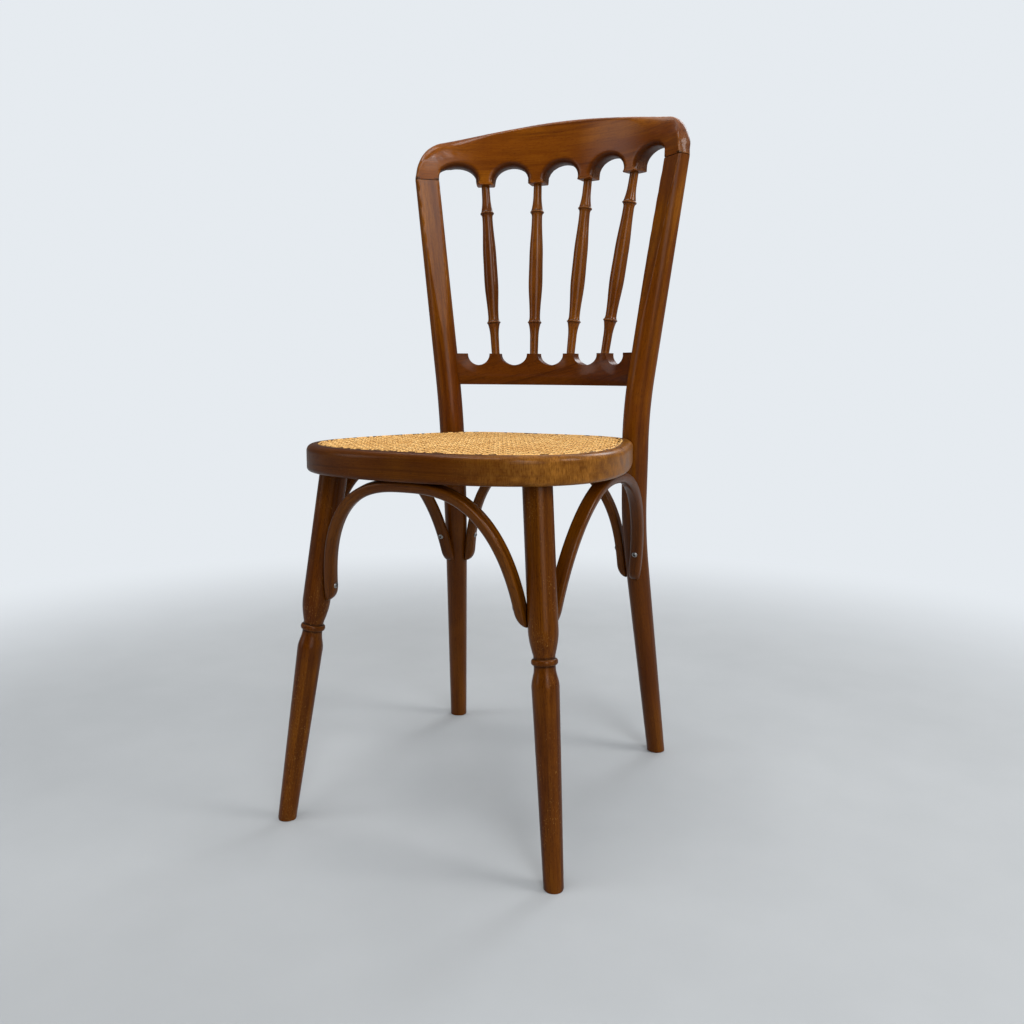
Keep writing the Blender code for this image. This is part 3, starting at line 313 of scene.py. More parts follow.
# %% [markdown]
# Beech is pale and even, with fine fibres along the grain and short darker flecks. The walnut
# stain sinks in unevenly, the end grain drinks more of it, and years of hands wear the edges.
# The edges are painted pale, partly as wear and partly as painted highlight, and the hollows
# are painted darker, partly as dirt and partly as painted shade. The tree reads two attributes
# that each piece carries: grain holds the place in the straight board before it was bent or
# turned, and finish holds how rounded an edge is, how hollow, and how much end grain shows.

# %% Stained beech
def stained_beech(
        name, seed, scuffs=0.0, golden=0.0, depth=1.0, redness=0.0, grain_scale=1.0,
        lit_right_and_worn=0.0, worn_ends=0.0, shaded_foot=0.0, varnish=0.14):
    finish = Finish(name)
    grain = finish.node("ShaderNodeVectorMath", operation="ADD", inputs={
        0: finish.attribute("grain"), 1: (seed * 0.37, seed * 0.11, seed * 0.23)})
    edge, hollow, end_grain = finish.parts(finish.attribute("finish"))

    def tint(red, green, blue):
        return (red * depth, green * depth * (1 - redness), blue * depth)

    cloud = finish.noise(grain, (5.0, 16.0, 16.0))
    warp = finish.noise(grain, (7.0, 24.0, 24.0), 2.0, distortion=0.6)
    bands = finish.noise(grain, (2.2 * grain_scale, 95.0, 95.0), 4.0, 0.6, 0.9)
    fibre = finish.noise(grain, (26.0, 1050.0, 1050.0), 4.0, 0.65)
    fleck = finish.noise(grain, (170.0, 900.0, 2200.0), 1.0)
    blotch = finish.noise(grain, (60.0, 75.0, 75.0), 5.0, 0.65)
    chips = finish.noise(grain, (420.0, 900.0, 900.0), 2.0, 0.7)
    patch = finish.noise(grain, (22.0, 30.0, 30.0), 2.0)

    colour = finish.mix(
        finish.between(cloud, 0.36, 0.66),
        tint(0.135, 0.0300, 0.0008), tint(0.225, 0.0610, 0.0016))
    colour = finish.cover(
        colour,
        (warp, 0.45, 0.75, 0.0, 0.40 + golden, tint(0.330, 0.1060, 0.0030)),
        (bands, 0.48, 0.64, 0.0, 0.62, tint(0.072, 0.0140, 0.0005)),
        (fibre, 0.50, 0.72, 0.0, 0.55, tint(0.055, 0.0100, 0.0004)),
        (fibre, 0.22, 0.44, 0.30, 0.0, tint(0.360, 0.1200, 0.0060)),
        (fleck, 0.58, 0.68, 0.0, 0.50, tint(0.045, 0.0085, 0.0005)),
        (end_grain, 0.45, 0.95, 0.0, 0.45, tint(0.070, 0.0170, 0.0012)),
        # The stain attribute: painted shade under the carved arches, with stain pooled there.
        (finish.attribute("stain", "Fac"), 0.0, 1.0, 0.0, 0.85, tint(0.042, 0.0085, 0.0006)))

    # Painted highlight: convex edges are painted pale, partly as wear and partly as the light along
    # them.
    edge_wear_and_highlight = finish.both((edge, 0.25, 0.95), (blotch, 0.40, 0.62, 0.05, 0.50))
    colour = finish.mix(edge_wear_and_highlight, colour, tint(0.360, 0.1350, 0.0300))
    # Painted shade: hollows and creases are painted nearly black, with some dirt.
    hollow_dirt_and_shade = finish.both((hollow, 0.10, 0.80), (blotch, 0.30, 0.60, 0.35, 0.80))
    colour = finish.mix(hollow_dirt_and_shade, colour, (0.012, 0.0030, 0.0006))
    worn = finish.both((chips, 0.62, 0.70), (patch, 0.52 - 0.1 * scuffs, 0.66 - 0.1 * scuffs))
    colour = finish.mix(
        finish.times(worn, 0.15 + 0.50 * scuffs), colour, (0.460, 0.2200, 0.0500))

    # Painted light: the ring's right side is painted lighter and golden where the light falls, with
    # worn patches.
    if lit_right_and_worn:
        across = finish.parts(finish.own_place())[0]
        specks = finish.noise(grain, (900.0, 500.0, 120.0), roughness=0.6)
        gold = finish.cover(
            (0.330, 0.128, 0.0170), (specks, 0.46, 0.66, 0.0, 1.0, (0.140, 0.0480, 0.0050)))
        reach = finish.both((across, 0.055, 0.155), (blotch, 0.34, 0.60, 0.30, 1.0))
        colour = finish.mix(finish.times(reach, lit_right_and_worn), colour, gold)
    # Painted shade: the uprights are painted darker towards the floor, as the shade under the seat.
    if shaded_foot:
        along = finish.parts(finish.attribute("grain"))[0]
        colour = finish.cover(
            colour, (along, 0.30, 0.50, shaded_foot, 0.0, tint(0.050, 0.0120, 0.0006)))
    if worn_ends:
        bare = finish.both((end_grain, 0.72, 0.95), (chips, 0.48, 0.60))
        colour = finish.mix(finish.times(bare, worn_ends), colour, (0.240, 0.130, 0.070))

    gloss = finish.plus(finish.between(blotch, 0.30, 0.75, 0.27, 0.42), finish.times(worn, 0.25))
    gloss = finish.plus(gloss, finish.times(end_grain, 0.10))
    relief = finish.plus(finish.times(fibre, 0.35), finish.times(blotch, 0.50))
    relief = finish.math("SUBTRACT", relief, finish.times(worn, 0.8))
    return finish.surface(
        Base_Color=colour, Roughness=gloss, Specular_IOR_Level=0.10,
        Specular_Tint=(1.0, 0.50, 0.22), Normal=finish.bump(relief, 0.00022, 0.55),
        Coat_Weight=varnish, Coat_Roughness=0.12)


# %% [markdown]
# The parts came from different boards and have worn differently: the front legs are scuffed by
# shoes, and the crest rail still has most of its varnish. The seat ring's right side is painted
# lighter where the light falls on it, with worn patches, and the uprights are painted darker
# towards the floor as painted shade.
# One tree serves them all, with a seed and settings of its own for each kind of part.

# %% Seven finishes of beech
BEECH = {name: stained_beech("beech_" + name, **values) for name, values in {
    "ring": dict(
        seed=1.0, scuffs=0.25, golden=0.40, depth=0.46, redness=0.03, lit_right_and_worn=0.80),
    "upright": dict(
        seed=2.0, scuffs=0.1, golden=0.40, depth=0.80, redness=0.02, shaded_foot=0.50,
        varnish=0.20),
    "front_leg": dict(seed=3.0, scuffs=0.7, golden=0.30, depth=0.55, redness=0.03),
    "crest": dict(
        seed=4.0, golden=0.15, depth=1.00, redness=0.02, grain_scale=1.4, worn_ends=0.4,
        varnish=0.26),
    "rail": dict(seed=5.0, depth=0.54, redness=0.11, grain_scale=1.6, varnish=0.26),
    "spindle": dict(seed=6.0, depth=0.78, varnish=0.34),
    "brace": dict(seed=7.0, scuffs=0.1, depth=0.50, varnish=0.22)}.items()}
print("wood finishes", len(BEECH))

# %% [markdown]
# Split cane keeps the shiny bark of the rattan. It is straw gold, each strand a little lighter
# or darker than the next, with fine lines along it and brown nodes here and there. Shade is
# painted on: darker where a strand dips under another and where its side shows, with short
# specks of painted shade and painted highlight. The spline gets dashes of painted shade where
# the gaps at the weave's edge are dark.

# %% Cane and steel
def split_cane(name, gap_shade=0.0):
    finish = Finish(name)
    spot = finish.own_place()
    facing = finish.parts(finish.node("ShaderNodeNewGeometry", "Normal"))[2]
    fine = finish.noise(spot, 900.0)
    cloud = finish.noise(spot, 28.0)
    node_marks = finish.noise(spot, 120.0, 1.0)
    specks_shade_and_highlight = finish.noise(spot, (560.0, 52.0, 560.0), 1.0)
    colour = finish.mix(
        finish.attribute("tone", "Fac"), (0.755, 0.390, 0.110), (0.950, 0.585, 0.208))
    colour = finish.cover(
        colour,
        (cloud, 0.40, 0.70, 0.0, 0.30, (0.620, 0.270, 0.060)),
        (fine, 0.50, 0.70, 0.0, 0.35, (0.450, 0.180, 0.036)),
        (node_marks, 0.68, 0.74, 0.0, 0.45, (0.200, 0.080, 0.022)),
        # Painted shade and painted highlight: short specks stretched front to back, dark and
        # bright.
        (specks_shade_and_highlight, 0.52, 0.64, 0.0, 0.55, (0.250, 0.085, 0.012)),
        (specks_shade_and_highlight, 0.32, 0.46, 0.45, 0.0, (1.000, 0.720, 0.330)),
        # Painted shade: darker where a strand dips under another, and on sides that face away from
        # above.
        (finish.attribute("dip", "Fac"), 0.12, 0.62, 0.0, 0.96, (0.180, 0.060, 0.008)),
        (facing, 0.05, 0.75, 0.90, 0.0, (0.090, 0.030, 0.007)))
    # Painted shade: dark dashes on the spline where the gaps at the weave's edge lie in shade.
    if gap_shade:
        gap_shade_dashes = finish.noise(spot, 150.0, 1.0)
        colour = finish.cover(colour, (gap_shade_dashes, 0.53, 0.57, 0.0, gap_shade, (0.045, 0.016, 0.005)))
    return finish.surface(
        Base_Color=colour, Roughness=finish.between(fine, 0.3, 0.7, 0.38, 0.55),
        Specular_IOR_Level=0.08, Specular_Tint=(1.0, 0.75, 0.45),
        Normal=finish.bump(fine, 0.00012, 0.6))


def aged_steel():
    finish = Finish("aged_steel")
    spot = finish.own_place()
    fine = finish.noise(spot, 1400.0, 4.0)
    stain = finish.noise(spot, 420.0, 2.0)
    hollow = finish.parts(finish.attribute("finish"))[1]
    colour = finish.mix(fine, (0.20, 0.19, 0.18), (0.42, 0.41, 0.40))
    colour = finish.cover(colour, (stain, 0.52, 0.66, 0.0, 0.6, (0.12, 0.07, 0.04)))
    return finish.surface(
        # Painted shade: the cross recess is painted nearly black.
        Base_Color=finish.mix(hollow, colour, (0.015, 0.013, 0.012)), Metallic=1.0,
        Roughness=finish.between(fine, 0.3, 0.7, 0.32, 0.52),
        Normal=finish.bump(fine, 0.00006, 0.5))


CANE = split_cane("split_cane")
SPLINE = split_cane("spline_cane", 0.9)
STEEL = aged_steel()
print("finishes", CANE.name, SPLINE.name, STEEL.name)

# %% [markdown]
# Every piece needs the two attributes of the wood. How rounded an edge is comes from the angle
# between neighbouring faces over the distance between them, which is the same for coarse and
# fine meshes. The normal of each point against the grain's direction tells end grain.

# %% Marks for the wood
SOFT_EDGE, SHARP_EDGE = 130, 520
SOFT_HOLLOW, SHARP_HOLLOW = 60, 420


def smoothstep(value, low, high):
    share = min(1.0, max(0.0, (value - low) / (high - low)))
    return share * share * (3 - 2 * share)


def store(mesh, name, kind, values):
    """Keep a number or a vector for every point of a mesh."""
    data = mesh.attributes.new(name, kind, "POINT").data
    data.foreach_set(
        "value" if kind == "FLOAT" else "vector", np.array(values, dtype=np.float32).ravel())


def mark_finish(mesh, along):
    """Store how edged, hollow and end-grained each point is; along tells the grain's way."""
    shape = bmesh.new()
    shape.from_mesh(mesh)
    shape.normal_update()
    convex, concave = np.zeros((2, len(shape.verts)))
    for joint in shape.edges:
        if len(joint.link_faces) == 2:
            one, two = (face.calc_center_median() for face in joint.link_faces)
            bend = joint.calc_face_angle_signed(0.0) / ((one - two).length + 1e-6)
            for vert in joint.verts:
                convex[vert.index] = max(convex[vert.index], bend)
                concave[vert.index] = max(concave[vert.index], -bend)
    values = []
    for vert in shape.verts:
        near = [joint.other_vert(vert).index for joint in vert.link_edges] + [vert.index]
        values.append((
            smoothstep(float(convex[near].mean()), SOFT_EDGE, SHARP_EDGE),
            smoothstep(float(concave[near].mean()), SOFT_HOLLOW, SHARP_HOLLOW),
            abs(vert.normal.dot(Vector(along[vert.index])))))
    shape.free()
    store(mesh, "finish", "FLOAT_VECTOR", values)


# %% [markdown]
# Most pieces are a section carried along a line: a row of rings of points, with faces between
# them. A curve with a bevel would do that too, but here the rings may change from one to the
# next, and each point can keep its place in the grain. A finished piece rides on the chair's one
# body and takes the place of the frame's own nodes.

# %% Helpers for pieces
def add_piece(name, mesh, material, nodes, angle=40):
    """Put a finished mesh in the scene in place of the frame's nodes."""
    mesh.materials.clear()
    mesh.materials.append(material)
    mesh.shade_smooth()
    mesh.set_sharp_from_angle(angle=math.radians(angle))
    piece = put(name, mesh)
    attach(piece, "root")
    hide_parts(*nodes)
    mesh.calc_loop_triangles()
    print("%-24s %6d triangles" % (name, len(mesh.loop_triangles)))


def skin(name, rings, grain, closed=False):
    """A closed surface through rings of points, with the grain's place for every point."""
    count, sides = len(rings), len(rings[0])
    faces = []
    for i in range(count if closed else count - 1):
        here, after = i * sides, (i + 1) % count * sides
        for j in range(sides):
            beside = (j + 1) % sides
            faces.append((here + j, here + beside, after + beside, after + j))
    if not closed:
        faces.append(tuple(range(sides - 1, -1, -1)))
        faces.append(tuple(range((count - 1) * sides, count * sides)))
    mesh = bpy.data.meshes.new(name)
    mesh.from_pydata([tuple(point) for ring in rings for point in ring], [], faces)
    store(mesh, "grain", "FLOAT_VECTOR", grain)
    shape = bmesh.new()
    shape.from_mesh(mesh)
    bmesh.ops.remove_doubles(shape, verts=shape.verts, dist=0.00001)
    bmesh.ops.recalc_face_normals(shape, faces=shape.faces)
    shape.to_mesh(mesh)
    shape.free()
    return mesh


def path_directions(mesh, directions):
    """The nearest of some directions for every point of a mesh, by its place along the grain."""
    values = np.zeros(len(mesh.vertices) * 3)
    mesh.attributes["grain"].data.foreach_get("vector", values)
    nearest = np.searchsorted([place for place, _ in directions], values[::3])
    return [directions[min(i, len(directions) - 1)][1] for i in nearest]


# %% [markdown]
# Several parts follow the seat's outline: two superellipses that meet at the widest line, with
# a taper to the back. The uprights stand against it, and the legs, braces and cane are set in
# from it. So the outline comes first, with the sizes that the frame was built to.

# %% The seat's outline
GAP = 0.0003
SEAT_HEIGHT, RING_THICKNESS, RING_WIDTH = 0.469, 0.033, 0.048
RING_BOTTOM = SEAT_HEIGHT - RING_THICKNESS
SEAT_FRONT, SEAT_BACK, SEAT_WAIST, SEAT_HALF_WIDTH = 0.2333, 0.1722, 0.0512, 0.1700
SEAT_TAPER, FRONT_ROUNDING, BACK_ROUNDING = 0.69, 0.80, 0.505
GROOVE_INSET, GROOVE_WIDTH, GROOVE_DEPTH, REBATE_DEPTH = 0.0130, 0.0042, 0.0075, 0.0028
DENSE = 1440


def power(value, exponent):
    return math.copysign(abs(value) ** exponent, value)


def seat_edge(turn):
    """The ring's outer edge, from 0 at the front over 0.25 at the right to 1."""
    angle = 2 * math.pi * turn
    if math.cos(angle) > 0:
        rounding, reach = FRONT_ROUNDING, SEAT_FRONT + SEAT_WAIST
    else:
        rounding, reach = BACK_ROUNDING, SEAT_BACK - SEAT_WAIST
    behind = -power(math.cos(angle), rounding) * reach
    taper = SEAT_TAPER * behind / (SEAT_FRONT + SEAT_BACK)
    across = SEAT_HALF_WIDTH * (1 - taper) * power(math.sin(angle), rounding)
    return Vector((across, SEAT_WAIST + behind))


def seat_normal(turn):
    step = seat_edge(turn + 2 / DENSE) - seat_edge(turn - 2 / DENSE)
    return Vector((step.y, -step.x)).normalized()


def seat_point(turn, inset):
    return seat_edge(turn) - seat_normal(turn) * inset


def seat_outline(inset, count):
    """Evenly spaced points round the seat, moved in from its edge."""
    closed = np.array([tuple(seat_edge(i % DENSE / DENSE)) for i in range(DENSE + 1)])
    reach = np.concatenate(([0], np.cumsum(np.hypot(*np.diff(closed, axis=0).T))))
    wanted = np.linspace(0, reach[-1], count, endpoint=False)
    line = np.stack([np.interp(wanted, reach, closed[:, k]) for k in (0, 1)], axis=1)
    step = np.roll(line, -1, axis=0) - np.roll(line, 1, axis=0)
    normal = np.stack((step[:, 1], -step[:, 0]), axis=1) / np.hypot(*step.T)[:, None]
    return line - normal * inset, normal, wanted


def fillet(centre, radius, start, end, steps):
    """Points along an arc between two angles in degrees."""
    angles = np.radians(np.linspace(start, end, steps + 1))
    return [(centre[0] + radius * math.cos(a), centre[1] + radius * math.sin(a)) for a in angles]


print("seat %.0f by %.0f mm" % (2000 * SEAT_HALF_WIDTH, 1000 * (SEAT_FRONT + SEAT_BACK)))

# %% [markdown]
# The seat ring is one bar bent into a hoop. Its section is drawn once and carried round the
# outline. The top outer edge is the roundest, and a step and a groove wait for the cane. The
# grain runs round the hoop, so the first grain coordinate is the distance along it.

# %% Seat ring
TOP_ROUND, BOTTOM_ROUND, INNER_ROUND, GROOVE_BEVEL = 0.0085, 0.005, 0.003, 0.0006
RING_END_GRAIN = 0.2


def ring_section():
    """The bar's section from its bottom outer edge inwards: inset and height."""
    near, far = 0.016, 0.032
    shelf, groove = RING_THICKNESS - REBATE_DEPTH, RING_THICKNESS - GROOVE_DEPTH
    inside = RING_WIDTH - INNER_ROUND
    points = fillet((BOTTOM_ROUND, BOTTOM_ROUND), BOTTOM_ROUND, 180, 270, 8)
    points += [(near, 0.0), (far, 0.0)]
    points += fillet((inside, INNER_ROUND), INNER_ROUND, 270, 360, 5)
    points += fillet((inside, shelf - INNER_ROUND), INNER_ROUND, 0, 90, 5)
    points += [(far, shelf), (GROOVE_INSET + GROOVE_WIDTH, shelf)]
    points += [(GROOVE_INSET + GROOVE_WIDTH, groove), (GROOVE_INSET, groove)]
    points += [(GROOVE_INSET, RING_THICKNESS - GROOVE_BEVEL)]
    points += [(GROOVE_INSET - GROOVE_BEVEL, RING_THICKNESS)]
    points += fillet((TOP_ROUND, RING_THICKNESS - TOP_ROUND), TOP_ROUND, 90, 180, 12)
    return points + [(0.0, RING_THICKNESS * share) for share in (0.60, 0.45, 0.30)]


def seat_ring(stations=300):
    line, normal, reach = seat_outline(0.0, stations)
    section = ring_section()
    rings, grain = [], []
    for point, out, place in zip(line, normal, reach):
        rings.append([(*(point - out * inset), RING_BOTTOM + height) for inset, height in section])
        fold = min(place, reach[-1] - place)
        grain += [(fold, inset, height) for inset, height in section]
    mesh = skin("seat_ring_wood", rings, grain, closed=True)
    mark_finish(mesh, [
        Vector((vert.co.y, -vert.co.x, 0)).normalized() * RING_END_GRAIN
        for vert in mesh.vertices])
    add_piece("seat_ring_wood", mesh, BEECH["ring"], ["seat_ring"], angle=30)


seat_ring()

# %% [markdown]
# Each upright is one rod from the floor to the crest rail, steamed and bent twice: it leans out
# above the seat and kicks back below it. Its line is four corners with a smooth bend at the
# middle two, which is how a bending form is laid out.

# %% The line of an upright
UPRIGHT_DIA, UPRIGHT_TOP_DIA, BACK_FOOT_DIA, UPRIGHT_NOTCH = 0.0363, 0.0350, 0.0256, 0.0060
UPRIGHT_TURN, JOINT_HEIGHT = 0.3325, 0.8375
BACK_FOOT, UPRIGHT_TOP = (0.1687, 0.2041), (0.1882, 0.1454)
KNEE_IN, KNEE_BACK, KNEE_DROP = 0.0024, 0.006, 0.096
HIP_FORWARD, HIP_RISE, BEND_REACH = 0.005, 0.037, 0.050


def bent_line(corners, reach, steps):
    """A line through corners, each bent smoothly."""
    points = [corners[0]]
    for before, corner, after in zip(corners, corners[1:], corners[2:]):
        start = corner + (before - corner).normalized() * reach
        end = corner + (after - corner).normalized() * reach
        for t in (step / steps for step in range(steps + 1)):
            points.append(start * (1 - t) ** 2 + corner * 2 * t * (1 - t) + end * t ** 2)
    return points + [corners[-1]]


seat_joint = seat_point(UPRIGHT_TURN, UPRIGHT_NOTCH - UPRIGHT_DIA / 2)
UPRIGHT_LINE = bent_line([
    Vector((*BACK_FOOT, 0)),
    Vector((seat_joint.x - KNEE_IN, seat_joint.y + KNEE_BACK, RING_BOTTOM - KNEE_DROP)),
    Vector((seat_joint.x, seat_joint.y - HIP_FORWARD, SEAT_HEIGHT + HIP_RISE)),
    Vector((*UPRIGHT_TOP, JOINT_HEIGHT))], BEND_REACH, 20)


def upright_at(height, side=1):
    """The centre of an upright at a height."""
    for low, high in zip(UPRIGHT_LINE, UPRIGHT_LINE[1:]):
        if height <= high.z:
            break
    point = low.lerp(high, (height - low.z) / (high.z - low.z))
    return Vector((side * point.x, point.y, height))


def upright_radius(height):
    levels = (0, (SEAT_HEIGHT + RING_BOTTOM) / 2, JOINT_HEIGHT)
    return float(np.interp(height, levels, (BACK_FOOT_DIA, UPRIGHT_DIA, UPRIGHT_TOP_DIA))) / 2


print("uprights %.0f mm apart at the seat" % (2000 * upright_at(SEAT_HEIGHT).x))

# %% [markdown]
# The back is bowed: crest rail and lower rail lie on arcs that pass through both uprights. An
# arc is told by its height and by how deep it bows. The flats on the uprights face the middle of
# the crest's arc, so the arc has to come before them.

# %% The bow of the back
FACET_DEPTH, FACET_LENGTH, FACET_SOFTNESS = 0.0101, 0.220, 0.0004
FACET_OFFSET = UPRIGHT_TOP_DIA / 2 - FACET_DEPTH
CREST_BOW, RAIL_BOW = 0.0653, 0.0447


class Bow:
    """An upright arc across the back that passes through both uprights at one height."""

    def __init__(self, height, depth, front_offset):
        end = upright_at(height)
        radius = (end.x ** 2 + depth ** 2) / (2 * depth)
        self.centre_y = end.y + depth - radius
        self.front_radius = radius - front_offset
        self.half_angle = math.asin(end.x / radius)
        self.reach = self.half_angle * self.front_radius

    def point(self, angle, behind_front, height):
        distance = self.front_radius + behind_front
        return Vector((
            distance * math.sin(angle), self.centre_y + distance * math.cos(angle), height))

    def along(self, mesh):
        """The way along the arc for every point of a mesh."""
        angles = [math.atan2(vert.co.x, vert.co.y - self.centre_y) for vert in mesh.vertices]
        return [(math.cos(angle), -math.sin(angle), 0) for angle in angles]


CREST = Bow(JOINT_HEIGHT, CREST_BOW, FACET_OFFSET)
print("front of the crest %.0f mm round" % (2000 * CREST.reach))

# %% [markdown]
# The front of each upright is planed flat at its upper end, where the crest rail meets it. A
# cut through a round rod would leave a hard corner. Here every level gets its own ring of
# points, and each ring is drawn in to the plane of the flat with a soft corner, as sanding
# leaves it.

# %% Uprights
LEVEL_STEP, SLOPE_STEP, END_EDGE = 0.0062, 0.004, 0.0006
FOOT_SHARE, GRAIN_APART = 0.94, 0.1


def soft_least(first, second, softness):
    """The smaller of two values, with a soft change from one to the other."""
    share = max(softness - abs(first - second), 0.0) / softness
    return min(first, second) - share * share * softness / 4


def upright_ring(height, side, sides=80):
    """The rod's level section at a height, with the flat planed on its front."""
    centre, radius = upright_at(height, side), upright_radius(height)
    over = upright_at(min(height + SLOPE_STEP, JOINT_HEIGHT), side)
    step = (over - upright_at(max(height - SLOPE_STEP, 0.0), side)).normalized()
    tilt = Vector((step.x, step.y, 0))
    first = tilt.normalized() if tilt.length > 1e-5 else Vector((1, 0, 0))
    second = Vector((-first.y, first.x, 0))
    outward = Vector((side * math.sin(CREST.half_angle), math.cos(CREST.half_angle), 0))
    high = upright_at(JOINT_HEIGHT, side) - outward * FACET_OFFSET
    flat_end = JOINT_HEIGHT - FACET_LENGTH
    low = upright_at(flat_end, side) - outward * upright_radius(flat_end)
    normal = outward.cross(Vector((0, 0, 1))).cross(high - low).normalized()
    if normal.dot(outward) > 0:
        normal.negate()
    points = []
    for j in range(sides):
        angle = 2 * math.pi * j / sides
        ray = first * (math.cos(angle) / step.z) + second * math.sin(angle)
        reach, towards = radius, ray.dot(normal)
        if towards > 0.02:
            to_flat = (high - centre).dot(normal) / towards
            reach = soft_least(radius, to_flat, FACET_SOFTNESS)
        points.append(centre + ray * reach)
    return points


def upright(name, side):
    heights = np.arange(0.004, JOINT_HEIGHT - 0.001, LEVEL_STEP)
    rings, grain, directions = [], [], []
    walked, before = 0.0, upright_at(0, side)
    for height in (0.0, END_EDGE, *heights, JOINT_HEIGHT - END_EDGE):
        ring, here = upright_ring(height, side), upright_at(height, side)
        if height == 0.0:
            ring = [here + (point - here) * FOOT_SHARE for point in ring]
        walked += (here - before).length
        directions.append((walked, (here - before).normalized() if walked else Vector((0, 0, 1))))
        before = here
        rings.append(ring)
        grain += [(
            walked, side * (point.x - here.x + GRAIN_APART), point.y - here.y) for point in ring]
    mesh = skin(name + "_upright_wood", rings, grain)
    mark_finish(mesh, path_directions(mesh, directions))
    add_piece(
        name + "_upright_wood", mesh, BEECH["upright"], [name + "_back_upright"], angle=35)


upright("left", -1)
upright("right", 1)

# %% [markdown]
# The turned pieces are profiles spun round an axis, as on a lathe. A profile is a list of
# radius and height. Rings are flared up to a crisp rim with a hollow on each side, because that
# is where a turner's chisel leaves its sharpest light.

# %% Helpers for turned pieces
FLARE = (0.0, 0.08, 0.16, 0.26, 0.37, 0.50, 0.65, 0.82, 1.0)


def swell(start, end, steps, bend=1.0):
    """Turning points from one radius to the next. They leave the first with no corner, and with
    a bend of 1 they also reach the second with none. With a bend of 0.5 they round in to it."""
    shares = [step / steps for step in range(1, steps + 1)]
    full = 1 - math.cos(math.pi * bend)
    return [(
        start[0] + (end[0] - start[0]) * (1 - math.cos(math.pi * bend * share)) / full,
        start[1] + (end[1] - start[1]) * share) for share in shares]


def collar(middle, rim, above, below, up, down):
    """A turned ring, with a flare up long over its rim and one down long under it, which end at
    the radii above and below."""
    half, root = 0.0009, rim - 0.0011
    over = [
        (above + (root - above) * (1 - share) ** 2.2, middle + half * 1.5 + up * share)
        for share in reversed(FLARE)]
    under = [
        (below + (root - below) * (1 - share) ** 2.6, middle - half * 1.5 - down * share)
        for share in FLARE]
    edge = rim - 0.0003
    return over + [
        (edge, middle + half), (rim, middle + half * 0.4),
        (rim, middle - half * 0.4), (edge, middle - half)] + under


def torus(middle, height, rim, core):
    """A turned bead: a full round between two small steps."""
    angles = np.radians(range(90, -91, -15))
    return [(core, middle + height / 2)] + [
        (core + (rim - core) * math.cos(angle) ** 0.8, middle + height * 0.42 * math.sin(angle))
        for angle in angles] + [(core, middle - height / 2)]


def even_out(profile, longest):
    """Add points where a profile's steps are long, so that the skin has even faces."""
    points = [profile[0]]
    for here, after in zip(profile, profile[1:]):
        pieces = max(1, math.ceil(math.dist(here, after) / longest))
        points += [(
            here[0] + (after[0] - here[0]) * k / pieces,
            here[1] + (after[1] - here[1]) * k / pieces) for k in range(1, pieces + 1)]
    return points


def spin(name, profile, sides, foot, axis, seed, floor_cut=False):
    """Turn a profile round an axis that starts at foot; the grain runs along the axis."""
    z = axis.normalized()
    x = Vector((0, 1, 0)).cross(z).normalized()
    y = z.cross(x)
    rings, grain = [], []
    for radius, height in profile:
        ring = []
        for j in range(sides):
            angle = 2 * math.pi * j / sides
            across = (radius * math.cos(angle), radius * math.sin(angle))
            point = foot + z * height + x * across[0] + y * across[1]
            if floor_cut and (point.z < 0 or height <= 0):
                point = point - z * (point.z / z.z)
            ring.append(point)
            grain.append((height + seed * 0.9, across[0] + seed * 0.05, across[1]))
        rings.append(ring)
    mesh = skin(name, rings, grain)
    mark_finish(mesh, [z] * len(mesh.vertices))
    return mesh


# %% [markdown]
# The front legs lean outwards and forwards. Each is turned straight: a stout shaft, a round
# shoulder, one bead, and a calf that tapers to the floor. Its foot is sawn level, so the lowest
# points are slid along the leg's axis until they touch the floor.

# %% Front legs
LEG_RADIUS, LEG_NECK, LEG_CALF, LEG_TIP = 0.0168, 0.01215, 0.01545, 0.0111
LEG_TENON, TENON_LENGTH, LEG_GAP = 0.011, 0.020, 0.0008
BEAD_PLACE, BEAD_HEIGHT, BEAD_RADIUS = 0.2446, 0.0084, 0.0149
SHOULDER_LENGTH, CALF_LENGTH = 0.035, 0.027
FRONT_FOOT, FRONT_LEG_TOP = (0.1823, -0.2141), seat_point(0.1011, 0.0315)


def front_leg_at(height, side=1):
    share = height / RING_BOTTOM
    x, y = (foot + (top - foot) * share for foot, top in zip(FRONT_FOOT, FRONT_LEG_TOP))
    return Vector((side * x, y, height))


def front_leg(name, side):
    foot = front_leg_at(0, side)
    axis = front_leg_at(RING_BOTTOM, side) - foot
    end, bead = axis.length, BEAD_PLACE * axis.length / RING_BOTTOM
    shaft = (LEG_RADIUS, bead + SHOULDER_LENGTH)
    below = (LEG_NECK, bead - BEAD_HEIGHT * 0.8)
    profile = [(0.0, end + TENON_LENGTH), (LEG_TENON, end + TENON_LENGTH)]
    profile += [(LEG_TENON, end + LEG_GAP), (LEG_RADIUS, end + LEG_GAP), shaft]
    profile += swell(shaft, (LEG_NECK, bead + BEAD_HEIGHT * 0.8), 14, 0.5)
    profile += torus(bead, BEAD_HEIGHT, BEAD_RADIUS, LEG_NECK) + [below]
    profile += swell(below, (LEG_CALF, bead - CALF_LENGTH), 14)
    profile += [(LEG_TIP + 0.0001, 0.0012), (LEG_TIP - 0.0007, 0.0), (0.0, 0.0)]
    node = "front_%s_leg" % name
    mesh = spin(
        node + "_wood", even_out(profile, 0.010), 56, foot, axis, 1.3 + side, floor_cut=True)
    add_piece(node + "_wood", mesh, BEECH["front_leg"], [node], angle=50)


front_leg("left", -1)
front_leg("right", 1)

